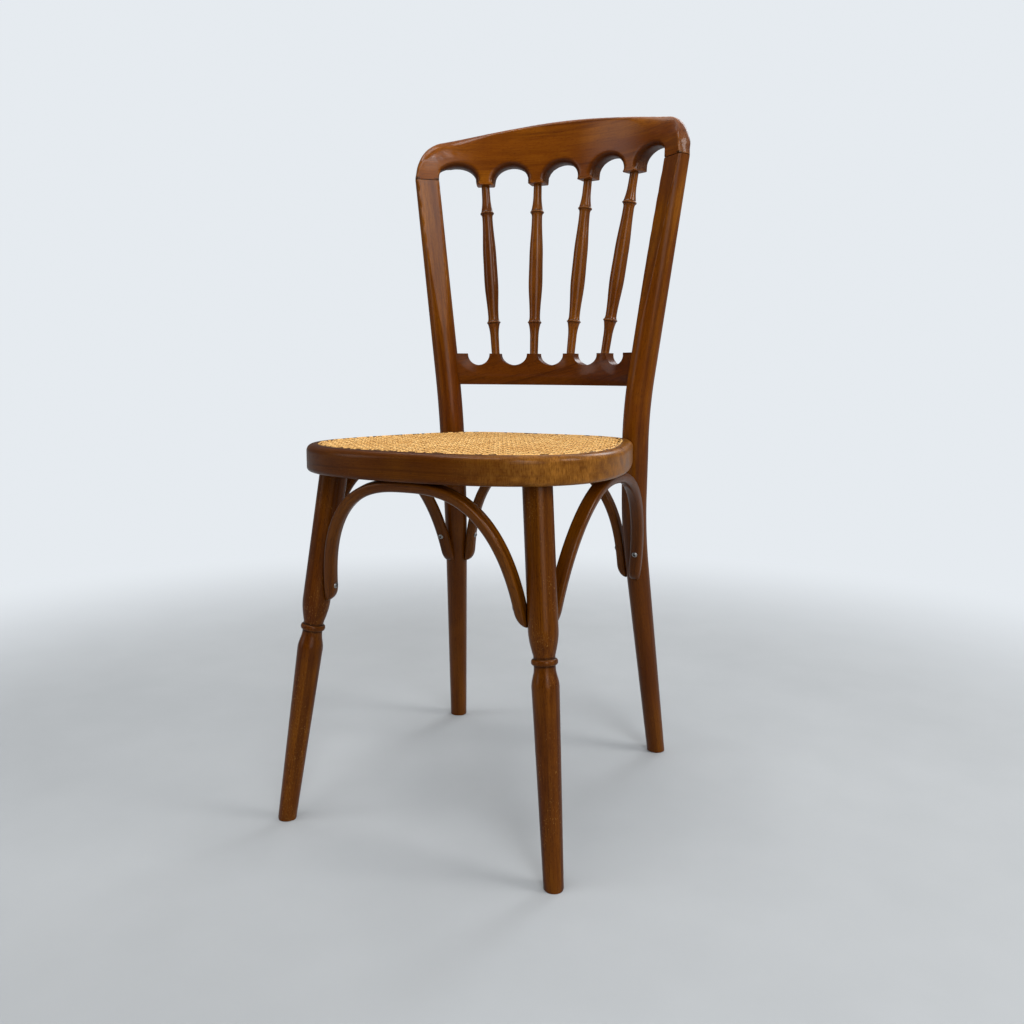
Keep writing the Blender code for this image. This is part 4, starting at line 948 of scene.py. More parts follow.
# %% [markdown]
# The crest rail and the lower rail were sawn from boards and bent. Both start as a flat outline
# filled with an even net of points. A single large face would do for a flat board, but it
# couldn't be bent or rounded afterwards. Rows of points that follow the edge come first, because
# the rounding needs them, and an even grid fills the middle.

# %% A net of points in an outline
RAIL_HEIGHT, RAIL_DEPTH, RAIL_THICKNESS = 0.5852, 0.0455, 0.020
RAIL = Bow(RAIL_HEIGHT - RAIL_DEPTH / 2, RAIL_BOW, RAIL_THICKNESS / 2)
CREST_THICKNESS = UPRIGHT_TOP_DIA - FACET_DEPTH
CREST_RISE, CREST_LEAN = 0.0795, 0.006
PENDANT_HEIGHT, PENDANT_WIDTH, ARCH_RISE = JOINT_HEIGHT - 0.0055, 0.026, 0.0255
ARCH_TOP = PENDANT_HEIGHT + ARCH_RISE
FACET_WIDTH = 2 * math.sqrt((UPRIGHT_TOP_DIA / 2) ** 2 - FACET_OFFSET ** 2)
CREST_PITCH, RAIL_PITCH = 0.384, 0.364
OUTLINE_STEP, NET_STEP, NET_CLOSEST = 0.0013, 0.0040, 0.0006
RIMS = (0.0004, 0.0010, 0.0018, 0.0028, 0.0040, 0.0055, 0.0072, 0.0092)


def arch(start, end, rise, steps):
    """Points over a round arch from one foot to the other, without its feet."""
    points = []
    for angle in (math.pi * step / steps for step in range(1, steps)):
        share = (1 - math.cos(angle)) / 2
        base = start[1] + (end[1] - start[1]) * share
        points.append((start[0] + (end[0] - start[0]) * share, base + rise * math.sin(angle)))
    return points


def search_tree(points):
    tree = KDTree(len(points))
    for i, point in enumerate(points):
        tree.insert((*point, 0), i)
    tree.balance()
    return tree


def inner_net(outline, tree):
    """Points inside a closed outline: rows that follow its edge, then an even grid."""
    rows = []
    for depth in RIMS:
        for i in range(0, len(outline), 1 if depth < 0.003 else 2):
            step = outline[(i + 1) % len(outline)] - outline[i - 1]
            spot = outline[i] + Vector((-step.y, step.x)).normalized() * depth
            if tree.find((*spot, 0))[2] > depth * 0.93:
                rows.append(spot)
    taken = search_tree(rows)
    net = [spot for i, spot in enumerate(rows) if all(
        other <= i for _, other, _ in taken.find_range((*spot, 0), NET_CLOSEST))]
    across, up = (
        np.arange(min(values), max(values), NET_STEP) for values in zip(*outline))
    return net + [
        Vector((s, z)) for s in across for z in up
        if tree.find((s, z, 0))[2] > RIMS[-1] + NET_STEP * 0.4]


print("rails %.0f and %.0f mm round" % (2000 * CREST.reach, 2000 * RAIL.reach))

# %% [markdown]
# Each point of the net is pushed back by how near it lies to the edge. That rounds the edge over
# as far as wanted, even where the outline is hollow, where a bevel would give up. Then the board
# is wrapped round its arc. Its own coordinates are kept as the grain from before the bend, which
# is why the grain follows the bow.

# %% Bending a board
CARVED_WIDTHS, ARCH_SHADE_FADE = (0.0045, 0.0085), (-0.0005, 0.0060)
ROUNDING_SMOOTHED = 6


def rolled(distance, width, depth):
    """How far the surface lies back at a distance from the edge, on a quarter of an ellipse."""
    if distance >= width:
        return 0.0
    return depth * (1 - math.sqrt(max(0.0, 1 - (1 - distance / width) ** 2)))


def shaped_board(name, corners, thickness, roll_at, bow, lean=0.0, turn=0.0, shade_and_stain_below=0.0):
    """A board from its outline, rolled over at its edges, bent round its arc."""
    outline = []
    for here, after in zip(corners, corners[1:] + corners[:1]):
        pieces = max(1, math.ceil(math.dist(here, after) / OUTLINE_STEP))
        outline += [Vector(here).lerp(Vector(after), k / pieces) for k in range(pieces)]
    tree = search_tree(outline)
    rolls = np.array([roll_at(*point) for point in outline])
    for _ in range(ROUNDING_SMOOTHED):
        rolls = (rolls + np.roll(rolls, 1, axis=0) + np.roll(rolls, -1, axis=0)) / 3
    flat, _, faces, _, _, _ = delaunay_2d_cdt(
        outline + inner_net(outline, tree), [], [list(range(len(outline)))], 1, 0.00001)
    shape = bmesh.new()
    grain = shape.verts.layers.float_vector.new("grain")
    stain = shape.verts.layers.float.new("stain")
    grain_turn = Matrix.Rotation(turn, 3, "Y")
    stacks = []
    for s, z in flat:
        _, nearest, distance = tree.find((s, z, 0))
        front_width, front_depth, back_width, back_depth = rolls[nearest]
        front = rolled(distance, front_width, front_depth)
        back = thickness - rolled(distance, back_width, back_depth)
        # Painted shade: the carved arch edges are marked darker, as the shade under them, with
        # pooled stain.
        arch_shade_and_stain = 0.0
        if outline[nearest].y < shade_and_stain_below:
            arch_shade_and_stain = smoothstep(front_width, *CARVED_WIDTHS)
        arch_shade_and_stain *= smoothstep(front_width - distance, *ARCH_SHADE_FADE)
        stacks.append([])
        for share in (0, 1 / 3, 2 / 3, 1):
            depth = front + (back - front) * share
            vert = shape.verts.new(bow.point(s / bow.front_radius, depth, z))
            vert.co.y += lean * (z - JOINT_HEIGHT)
            vert[grain] = grain_turn @ Vector((s, depth, z))
            vert[stain] = arch_shade_and_stain
            stacks[-1].append(vert)
    for face in faces:
        shape.faces.new([stacks[i][0] for i in face])
        shape.faces.new([stacks[i][-1] for i in reversed(face)])
    stack_of = {stack[0]: stack for stack in stacks}
    for joint in [joint for joint in shape.edges if len(joint.link_faces) == 1]:
        if joint.verts[0] in stack_of:
            one, two = (stack_of[vert] for vert in joint.verts)
            for k in range(3):
                shape.faces.new((one[k], two[k], two[k + 1], one[k + 1]))
    unused = [vert for vert in shape.verts if not vert.link_faces]
    bmesh.ops.delete(shape, geom=unused, context="VERTS")
    bmesh.ops.recalc_face_normals(shape, faces=shape.faces)
    mesh = bpy.data.meshes.new(name)
    shape.to_mesh(mesh)
    print(name, "open edges", sum(len(joint.link_faces) != 2 for joint in shape.edges))
    shape.free()
    return mesh


# %% [markdown]
# The crest rail's upper edge is a shallow crown that turns down in a round shoulder. Its lower
# edge is a row of arches with pendants between them, into which the spindles are socketed. Only
# the right half is drawn, and the left is its mirror image, as with a maker's half template.

# %% The crest rail's outline
CREST_CROWN, CORNER_RADIUS, CORNER_RISE = 0.60, 0.046, 0.0462
PENDANT_LIP, PENDANT_SLOPE, PENDANT_ROUND = 0.0060, 0.0006, 0.0028


def crest_top():
    """The upper outline from the right joint over the shoulder to the middle."""
    side = CREST.reach + FACET_WIDTH / 2
    drop, full = CREST_RISE - CORNER_RISE, math.sqrt(1 + CREST_CROWN ** 2) - CREST_CROWN

    def height(s):
        fall = (math.sqrt((s / side) ** 2 + CREST_CROWN ** 2) - CREST_CROWN) / full
        return JOINT_HEIGHT + CREST_RISE - drop * fall

    slope = math.atan(drop / side / (full * math.sqrt(1 + CREST_CROWN ** 2)))
    turn = math.pi / 2 - slope
    reach = CORNER_RADIUS * math.tan(turn / 2)
    centre = (side - CORNER_RADIUS, height(side) - reach)
    points = [(side, JOINT_HEIGHT + GAP)]
    points += fillet(centre, CORNER_RADIUS, 0, math.degrees(turn), 20)[:-1]
    start = side - reach * math.cos(slope)
    return points + [(s, height(s)) for s in np.linspace(start, 0, 41)[:-1]]


def crest_arches():
    """The lower outline from the middle over two pendants to the right joint."""
    half, rise = PENDANT_WIDTH / 2, ARCH_RISE - PENDANT_LIP
    left = [(-half - PENDANT_SLOPE, PENDANT_LIP)]
    left += [(s - half, z) for s, z in fillet(
        (PENDANT_ROUND, PENDANT_ROUND), PENDANT_ROUND, 180, 262, 7)]
    foot = left + [(-s, z) for s, z in reversed(left)]
    first, second = ([
        (place * CREST_PITCH * CREST.reach + s, PENDANT_HEIGHT + z) for s, z in foot]
        for place in (0.5, 1.5))
    end = (CREST.reach - FACET_WIDTH / 2, JOINT_HEIGHT + GAP)
    start = (-first[0][0], first[0][1])
    points = [point for point in arch(start, first[0], rise, 30) if point[0] > GAP]
    points += first + arch(first[-1], second[0], rise, 30) + second
    return points + arch(second[-1], end, rise, 30) + [end]


print("points in half the outline", len(crest_arches()) + len(crest_top()))

# %% [markdown]
# The carver rolled the front edge of the arches over generously, and the shoulders even more. At
# each end the rail takes on the section of the upright below it, so that the joint is only a
# fine line. A boolean could trim the rail to the upright, but moving the points a little keeps
# the skin even and the grain unbroken.

# %% Crest rail
FOOT_FADE, JOINT_FADE, RISE_FADE = (0.0002, 0.0040), (0.0, 0.010), (0.0, 0.030)
SHOULDER_UP, SHOULDER_OUT = (0.024, 0.048), (0.105, 0.170)
JOINT_BLEND, SIDE_BLEND = (0.0005, 0.026), (0.0005, 0.011)
JOINT_INSIDE, JOINT_CORE = 0.021, 0.004


def joint_reach(side):
    """How far the upright's top section reaches in each direction from its centre."""
    centre = upright_at(JOINT_HEIGHT, side)
    outs = [(point - centre).xy for point in upright_ring(JOINT_HEIGHT - END_EDGE, side, 256)]
    pairs = sorted((math.atan2(out.y, out.x), out.length) for out in outs)
    return centre, *zip(*pairs)


def crest_roll(s, z):
    """Width and depth of the rounding at a place on the outline: front, then back."""
    if abs(s) < CREST.reach and z < ARCH_TOP + GAP:
        near_foot = smoothstep(z - PENDANT_HEIGHT, *FOOT_FADE)
        near_joint = smoothstep(CREST.reach - FACET_WIDTH / 2 - abs(s), *JOINT_FADE)
        front = 0.0016 + 0.0074 * near_foot * (0.12 + 0.88 * near_joint)
        back = 0.0008 + 0.0042 * near_foot
        return front, front * 1.1, back, back
    above = smoothstep(z - JOINT_HEIGHT, *RISE_FADE)
    full = smoothstep(z - JOINT_HEIGHT, *SHOULDER_UP) * smoothstep(abs(s), *SHOULDER_OUT)
    front, back = 0.0022 + 0.0026 * above, 0.0020 + 0.0130 * above
    return front + 0.0260 * full, front + 0.0034 * full, back, back


def match_joint(mesh, side):
    """Near a joint, move the rail's points to the section of the upright below it."""
    centre, angles, reaches = joint_reach(side)
    for vert in mesh.vertices:
        share = 1 - smoothstep(vert.co.z - JOINT_HEIGHT, *JOINT_BLEND)
        out = (vert.co - centre).xy
        near = out.x * side >= -JOINT_INSIDE and vert.co.x * side >= 0
        if share > 0 and near and out.length > JOINT_CORE:
            wanted = np.interp(math.atan2(out.y, out.x), angles, reaches, period=2 * math.pi)
            scale = 1 + (float(wanted) / out.length - 1) * share
            vert.co.xy = centre.xy + out * scale


def crest_rail():
    half = crest_arches() + crest_top()
    outline = [(0.0, ARCH_TOP)] + half + [(0.0, JOINT_HEIGHT + CREST_RISE)]
    outline += [(-s, z) for s, z in reversed(half)]
    mesh = shaped_board(
        "crest_rail_wood", outline, CREST_THICKNESS, crest_roll, CREST,
        # The arches' carved edges are painted darker underneath, as shade with pooled stain.
        lean=CREST_LEAN / CREST_RISE, shade_and_stain_below=ARCH_TOP + GAP)
    match_joint(mesh, -1)
    match_joint(mesh, 1)
    outermost = max(abs(vert.co.x) for vert in mesh.vertices)
    start = upright_at(JOINT_HEIGHT).x
    squeeze = 1 - (UPRIGHT_TOP_DIA / 2) / (outermost - start)
    for vert in mesh.vertices:
        beyond = abs(vert.co.x) - start
        if beyond > 0:
            share = smoothstep(vert.co.z - JOINT_HEIGHT, *SIDE_BLEND)
            vert.co.x = math.copysign(start + beyond * (1 - squeeze * share), vert.co.x)
    mark_finish(mesh, CREST.along(mesh))
    add_piece("crest_rail_wood", mesh, BEECH["crest"], ["crest_rail"])


crest_rail()

# %% [markdown]
# The lower rail is the crest's small sister: scallops cut down between bosses that carry the
# spindles. Its board was sawn across the curve of the tree, so the grain runs slantwise.

# %% Lower rail
BOSS_HALF, SCALLOP_DEPTH, RAIL_GRAIN_SLANT = 0.0079, 0.0168, 14
RAIL_END, RAIL_BLOCK = RAIL.reach - 0.008, RAIL.reach - UPRIGHT_DIA / 2 - 0.012


def rail_roll(s, z):
    """Width and depth of the rounding at a place on the outline: front, then back."""
    if z < RAIL_HEIGHT - RAIL_DEPTH + GAP:
        return (0.0030,) * 4
    if abs(s) > RAIL_BLOCK + GAP:
        return (0.0012,) * 4
    hollow = smoothstep(RAIL_HEIGHT - z, 0.0002, 0.0060)
    return [0.0008 + more * hollow for more in (0.0020, 0.0014, 0.0012, 0.0012)]


def lower_rail():
    first, second = (place * RAIL_PITCH * RAIL.reach for place in (0.5, 1.5))
    low = RAIL_HEIGHT - RAIL_DEPTH
    side = []
    for start, end in (
            (-first + BOSS_HALF, first - BOSS_HALF), (first + BOSS_HALF, second - BOSS_HALF),
            (second + BOSS_HALF, RAIL_BLOCK)):
        feet = (start, RAIL_HEIGHT), (end, RAIL_HEIGHT)
        side += [feet[0]] + arch(*feet, -SCALLOP_DEPTH, 26) + [feet[1]]
    side = [point for point in side if point[0] > GAP] + [(RAIL_END, RAIL_HEIGHT), (RAIL_END, low)]
    outline = [(0.0, RAIL_HEIGHT - SCALLOP_DEPTH)] + side + [(0.0, low)]
    outline += [(-s, z) for s, z in reversed(side)]
    mesh = shaped_board(
        "lower_rail_wood", outline, RAIL_THICKNESS, rail_roll, RAIL,
        turn=math.radians(RAIL_GRAIN_SLANT))
    mark_finish(mesh, RAIL.along(mesh))
    add_piece("lower_rail_wood", mesh, BEECH["rail"], ["lower_back_rail"])


lower_rail()

# %% [markdown]
# The four spindles are alike: a slim neck, a sharp ring, a long belly, a second ring and a foot.
# They fan out a little, because the crest rail is wider than the lower rail.

# %% Spindles
NECK, SHAFT, FULL, BELLY, WAIST, RIM = 0.0059, 0.00765, 0.00995, 0.0103, 0.0078, 0.0101
SHORT_FLARE, LONG_FLARE, RIM_EDGE = 0.0060, 0.0250, 0.00135
TENON, TOP_TENON_LENGTH, FOOT_TENON_LENGTH = 0.0042, 0.010, 0.008


def spindle(number):
    place = number - 1.5
    low = RAIL.point(place * RAIL_PITCH * RAIL.half_angle, RAIL_THICKNESS / 2, RAIL_HEIGHT)
    high = CREST.point(
        place * CREST_PITCH * CREST.half_angle, CREST_THICKNESS / 2, PENDANT_HEIGHT)
    high.y -= CREST_LEAN / CREST_RISE * 0.0055
    axis = high - low
    end = axis.length
    upper, shouldered, widest, lower = (end * (1 - share) for share in (0.165, 0.430, 0.570, 0.815))
    profile = [(0.0, end + TOP_TENON_LENGTH), (TENON, end + TOP_TENON_LENGTH)]
    profile += [(TENON, end + 0.002), (NECK, end + 0.002), (NECK, end)]
    profile += collar(upper, RIM, NECK + 0.0002, SHAFT, LONG_FLARE, SHORT_FLARE)
    profile += swell((SHAFT, upper - RIM_EDGE - SHORT_FLARE), (FULL, shouldered), 16)
    profile += swell((FULL, shouldered), (BELLY, widest), 4)
    profile += swell((BELLY, widest), (WAIST, lower + RIM_EDGE + SHORT_FLARE), 16)[:-1]
    profile += collar(lower, RIM, WAIST, NECK + 0.0003, SHORT_FLARE, LONG_FLARE)
    profile = even_out(profile + [(NECK, 0.0)], 0.006)
    profile += [(NECK, -0.001), (TENON, -0.001)]
    profile += [(TENON, -FOOT_TENON_LENGTH), (0.0, -FOOT_TENON_LENGTH)]
    node = "spindle_%d" % (number + 1)
    mesh = spin(node + "_wood", profile, 36, low, axis, 2.7 + number)
    add_piece(node + "_wood", mesh, BEECH["spindle"], [node], angle=50)


for number in range(4):
    spindle(number)

# %% [markdown]
# Four arched braces tie the legs to each other and to the ring. Each lies in a plane through
# both its posts and the ring above. Its line could be drawn by hand for each side, but the posts
# lean, so it is safer to work it out from them: half a superellipse that leans with the post at
# either end.

# %% The line of a brace
BRACE_WIDTH, BRACE_THICKNESS, CROWN_INSET = 0.0170, 0.0130, 0.0165


class Arch:
    """The plane and the bent line of one brace, from the tip on one leg to that on the next."""

    def __init__(self, first, second, crown_turn, rounding):
        lows, highs, offsets = [], [], []
        for line, side, radius, tip, rise in (first, second):
            lows.append(line(tip, side))
            highs.append(line(tip + rise, side))
            offsets.append(radius(tip + rise) + GAP + BRACE_THICKNESS / 2)
        span = (lows[1] - lows[0]).normalized()
        start, end = lows[0] + span * offsets[0], lows[1] - span * offsets[1]
        over = seat_point(crown_turn, CROWN_INSET)
        crown = Vector((over.x, over.y, RING_BOTTOM + 0.001 - BRACE_THICKNESS / 2))
        self.middle = (start + end) / 2
        self.x = (end - start).normalized()
        up = crown - self.middle
        up -= self.x * up.dot(self.x)
        self.rise, self.half, self.rounding = up.length, (end - start).length / 2, rounding
        self.y = up.normalized()
        self.z = self.x.cross(self.y)
        self.leans = [
            (high - low).dot(self.x) / (high - low).dot(self.y) for low, high in zip(lows, highs)]

    def point(self, angle):
        along = -power(math.cos(angle), self.rounding)
        height = self.rise * abs(math.sin(angle)) ** self.rounding
        start = self.leans[0] * height - self.half
        end = self.leans[1] * height + self.half
        return Vector(((start + end) / 2 + along * (end - start) / 2, height))

    def world(self, point, depth=0.0):
        return self.middle + self.x * point[0] + self.y * point[1] + self.z * depth

    def seat(self, rise, at_first):
        """The bar's inner face at a height above its tip, and the direction into the leg."""
        angle = math.asin((rise / self.rise) ** (1 / self.rounding))
        place, ahead = (
            self.point(turn if at_first else math.pi - turn) for turn in (angle, angle + 0.004))
        upward = (ahead - place).normalized()
        inward = Vector((upward.y, -upward.x)) * (1 if at_first else -1)
        face = self.world(place + inward * (BRACE_THICKNESS / 2))
        return face, -(self.x * inward.x + self.y * inward.y)


# %% [markdown]
# The brace is a bent bar, flat on the outside and rounded towards the opening. The section is
# carried along the arch, and over the last stretch it shrinks towards the leg, which rounds off
# the tip. Where a screw sits, the place and the way out of the wood are noted for later.

# %% Braces
TIP_RADIUS, OPENING_ROUND, OUTER_ROUND = 0.0190, 0.0064, 0.0036
SCREW_SUNK, CROWN_SUNK, SCREW_SIZE, CROWN_SCREW_SIZE = 0.0004, 0.0014, 1.0, 0.8


def brace_section():
    """Across the bar, positive towards the opening, and along its width."""
    points = []
    for across, up, radius, start, steps in (
            (1, 1, OPENING_ROUND, 0, 7), (-1, 1, OUTER_ROUND, 90, 5),
            (-1, -1, OUTER_ROUND, 180, 5), (1, -1, OPENING_ROUND, 270, 7)):
        centre = (across * (BRACE_THICKNESS / 2 - radius), up * (BRACE_WIDTH / 2 - radius))
        points += fillet(centre, radius, start, start + 90, steps)
    return points


def brace(name, bar, seed):
    dense = [bar.point(math.pi * k / 2000) for k in range(2001)]
    reach = np.concatenate(([0], np.cumsum([(b - a).length for a, b in zip(dense, dense[1:])])))
    tip = [TIP_RADIUS * (1 - math.cos(math.pi / 2 * k / 9)) for k in range(10)]
    places = tip + list(np.linspace(TIP_RADIUS, reach[-1] - TIP_RADIUS, 110)[1:-1])
    places += [reach[-1] - place for place in reversed(tip)]
    line = [
        Vector([np.interp(place, reach, values) for values in zip(*dense)]) for place in places]
    rings, grain, directions = [], [], []
    for i, place in enumerate(places):
        step = (line[min(i + 1, len(line) - 1)] - line[max(i - 1, 0)]).normalized()
        inward = Vector((step.y, -step.x))
        to_round = max(0.0, 1 - min(place, reach[-1] - place) / TIP_RADIUS)
        keep = max(0.06, math.sqrt(max(0.0, 1 - to_round ** 2)))
        ring = []
        for across, width in brace_section():
            pulled = -BRACE_THICKNESS / 2 + (across + BRACE_THICKNESS / 2) * keep
            point = bar.world(line[i] + inward * pulled, width * (0.45 + 0.55 * keep))
            point.z = min(point.z, RING_BOTTOM - GAP)
            ring.append(point)
            grain.append((place + seed, across, width))
        rings.append(ring)
        directions.append((place + seed, (bar.x * step.x + bar.y * step.y).normalized()))
    mesh = skin(name + "_wood", rings, grain)
    mark_finish(mesh, path_directions(mesh, directions))
    add_piece(name + "_wood", mesh, BEECH["brace"], [name])


def leg_radius(height):
    return LEG_RADIUS


# For each post: its line, side and radius, the tip's height and how far up its screw sits.
FRONT_LEFT, FRONT_RIGHT = (
    (front_leg_at, side, leg_radius, RING_BOTTOM - 0.156, 0.022) for side in (-1, 1))
BACK_LEFT, BACK_RIGHT = (
    (upright_at, side, upright_radius, RING_BOTTOM - 0.167, 0.042) for side in (-1, 1))
BRACES = {
    # from, to, turn of the crown, rounding
    "front_arch_brace": (FRONT_LEFT, FRONT_RIGHT, 0.0, 0.72),
    "right_arch_brace": (FRONT_RIGHT, BACK_RIGHT, 0.222, 0.86),
    "rear_arch_brace": (BACK_RIGHT, BACK_LEFT, 0.5, 0.74),
    "left_arch_brace": (BACK_LEFT, FRONT_LEFT, 0.778, 0.86)}
screw_spots = []
for seed, (name, values) in enumerate(BRACES.items()):
    bar = Arch(*values)
    brace(name, bar, seed * 1.7)
    for post, at_first in zip(values, (True, False)):
        face, into = bar.seat(post[-1], at_first)
        screw_spots.append((face + into * SCREW_SUNK, -into, SCREW_SIZE))
    crown = bar.world((0, bar.rise - BRACE_THICKNESS / 2))
    screw_spots.append((crown + bar.y * CROWN_SUNK, -bar.y, CROWN_SCREW_SIZE))
print("screws", len(screw_spots))

# %% [markdown]
# Geometry Nodes repeat a thing without a loop in the script. Tree starts such a tree with named
# inputs and can end it. The function grow runs a tree on a mesh and returns a plain mesh. An
# input is set by its identifier before anything is evaluated.

# %% Helpers for geometry trees
class Tree(Nodes):
    def __init__(self, name, floats, objects=()):
        super().__init__(bpy.data.node_groups.new(name, "GeometryNodeTree"))
        sockets = [("Geometry", "Geometry")]
        sockets += [(label, "Float") for label in floats]
        sockets += [(label, "Object") for label in objects] + [("Material", "Material")]
        face = self.tree.interface
        face.new_socket("Geometry", in_out="OUTPUT", socket_type="NodeSocketGeometry")
        for label, kind in sockets:
            face.new_socket(label, in_out="INPUT", socket_type="NodeSocket" + kind)
        self.given = self.tree.nodes.new("NodeGroupInput").outputs
        self.result = self.tree.nodes.new("NodeGroupOutput").inputs[0]

    def geo(self, kind, output=0, inputs=(), **settings):
        return self.node("GeometryNode" + kind, output, inputs, **settings)

    def keep(self, geometry, name, value):
        """Give every point a number that a finish can read."""
        return self.geo("StoreNamedAttribute", data_type="FLOAT", domain="POINT", inputs={
            "Geometry": geometry, "Name": name, "Value": value})

    def section(self, corners, width, height):
        """A closed curve, wide and high as told, to carry along a path."""
        circle = self.geo("CurvePrimitiveCircle", mode="RADIUS", inputs={
            "Resolution": corners, "Radius": 0.5})
        return self.geo("Transform", inputs={
            "Geometry": circle, "Scale": self.vector(width, height, 1.0)})

    def close(self, geometry):
        """End the tree: real geometry in one material."""
        real = self.geo("RealizeInstances", inputs={"Geometry": geometry})
        dressed = self.geo("SetMaterial", inputs={
            "Geometry": real, "Material": self.given["Material"]})
        self.feed(self.result, dressed)
        return self


def grow(tree, mesh, values):
    """Run a tree on a mesh with these inputs, and return the result as a plain mesh."""
    carrier = put("carrier", mesh)
    modifier = carrier.modifiers.new("nodes", "NODES")
    modifier.node_group = tree.tree
    for item in tree.tree.interface.items_tree:
        if item.item_type == "SOCKET" and item.in_out == "INPUT" and item.name in values:
            modifier[item.identifier] = values[item.name]
    depsgraph = bpy.context.evaluated_depsgraph_get()
    depsgraph.update()
    grown = bpy.data.meshes.new_from_object(
        carrier.evaluated_get(depsgraph), depsgraph=depsgraph)
    carrier.modifiers.remove(modifier)
    bpy.data.objects.remove(carrier, do_unlink=True)
    return grown


def joined(name, meshes):
    """One mesh from several, with all faces outwards."""
    shape = bmesh.new()
    for mesh in meshes:
        shape.from_mesh(mesh)
    bmesh.ops.recalc_face_normals(shape, faces=shape.faces)
    whole = bpy.data.meshes.new(name)
    shape.to_mesh(whole)
    shape.free()
    return whole


# %% [markdown]
# Woven cane has six sets of strands: two lengthwise and two crosswise, which lie in pairs, and
# two on the diagonal, which cross in the middle between the pairs and leave eight-sided holes.
# One tree weaves any set. It lays a row of straight lines, drops the points that fall outside
# the seat's outline, lifts and lowers each line where it crosses the others, turns it down near
# the outline, and gives the line the flat section of split cane. A plain sheet with a pattern
# would do from afar, but its holes would not be open, and the light would not catch on the
# crossings.

# %% The weaving tree
PITCH = 0.0125
STRAND_WIDTH, STRAND_THICKNESS = 0.0025, 0.0008
EDGE_REACH, EDGE_DROP = 0.0042, 0.0036
FIELD_REACH = 0.27


def weaving_tree():
    tree = Tree("weaving", (
        "Spacing", "Shift", "Turn", "Step", "Lift", "Phase", "Along X", "Along Y", "Width",
        "Thickness", "Level", "Seed"), ("Edge",))
    given = tree.given
    spacing = given["Spacing"]
    half_count = tree.math("CEIL", tree.math("DIVIDE", FIELD_REACH, spacing))
    count = tree.plus(tree.times(half_count, 2.0), 1.0)
    first = tree.times(tree.math("SUBTRACT", count, 1.0), tree.times(spacing, -0.5))
    row = tree.geo("MeshLine", mode="OFFSET", inputs={
        "Count": count, "Start Location": tree.vector(y=tree.plus(first, given["Shift"])),
        "Offset": tree.vector(y=spacing)})
    tone = tree.node("FunctionNodeRandomValue", output=1, data_type="FLOAT", inputs={
        "ID": tree.geo("InputIndex"), "Seed": given["Seed"]})
    row = tree.keep(row, "tone", tone)
    straight = tree.geo("CurvePrimitiveLine", inputs={
        "Start": (-FIELD_REACH, 0, 0), "End": (FIELD_REACH, 0, 0)})
    straight = tree.geo("ResampleCurve", mode="LENGTH", inputs={
        "Curve": straight, "Length": given["Step"]})
    lines = tree.geo("InstanceOnPoints", inputs={"Points": row, "Instance": straight})
    lines = tree.geo("RealizeInstances", inputs={"Geometry": lines})
    lines = tree.geo("Transform", inputs={
        "Geometry": lines, "Rotation": tree.vector(z=given["Turn"])})

    x, y, _ = tree.parts(tree.geo("InputPosition"))
    hit = tree.geo("Raycast", inputs={
        "Target Geometry": given["Geometry"], "Source Position": tree.vector(x, y, 1.0),
        "Ray Direction": (0, 0, -1), "Ray Length": 2.0})
    lines = tree.geo("DeleteGeometry", domain="POINT", inputs={
        "Geometry": lines,
        "Selection": tree.node("FunctionNodeBooleanMath", operation="NOT", inputs={0: hit})})

    travel = tree.plus(tree.times(x, given["Along X"]), tree.times(y, given["Along Y"]))
    turns = tree.plus(tree.times(travel, 2 * math.pi / PITCH), given["Phase"])
    swing = tree.math("SINE", turns)
    # dip: how low the strand lies, which the cane's finish paints darker as shade.
    lines = tree.keep(lines, "dip", tree.math("MULTIPLY_ADD", swing, -0.5))
    edge = tree.geo("ObjectInfo", output="Geometry", inputs={"Object": given["Edge"]})
    from_edge = tree.geo("Proximity", output="Distance", target_element="EDGES", inputs={
        "Geometry": edge, "Sample Position": tree.vector(x, y)})
    turned_down = tree.between(
        from_edge, 0.0, EDGE_REACH, -EDGE_DROP, 0.0, interpolation_type="SMOOTHSTEP")
    height = tree.plus(given["Level"], tree.times(swing, given["Lift"]))
    lines = tree.geo("SetPosition", inputs={
        "Geometry": lines, "Offset": tree.vector(z=tree.plus(height, turned_down))})
    lines = tree.geo("SetCurveNormal", mode="Z_UP", inputs={"Curve": lines})
    return tree.close(tree.geo("CurveToMesh", inputs={
        "Curve": lines, "Profile Curve": tree.section(6, given["Width"], given["Thickness"]),
        "Fill Caps": True}))


# %% [markdown]
# The cane's level follows the step in the ring, and its strands end under the spline. Each set
# has its own phase: where a lengthwise strand is up, the crosswise one is down, and one diagonal
# passes over the lengthwise pairs and under the crosswise pairs while the other does the
# opposite.

# %% Weaving the seat
PAIR_GAP, PAIR_LIFT, DIAGONAL_LIFT = 0.0034, 0.00050, 0.00078
WEAVE_INSET = GROOVE_INSET + GROOVE_WIDTH * 0.7
QUARTER, EIGHTH = math.pi / 2, math.pi / 4


def flat_outline(name, inset, height, count=240):
    line, _, _ = seat_outline(inset, count)
    mesh = bpy.data.meshes.new(name)
    mesh.from_pydata([(x, y, height) for x, y in line], [], [tuple(range(count))])
    return mesh


low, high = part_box("cane_panel")
cane_level = (low.z + high.z) / 2 + 0.0006
weave = weaving_tree()
edge_object = put("cane_edge", flat_outline("cane_edge", WEAVE_INSET, 0.0))


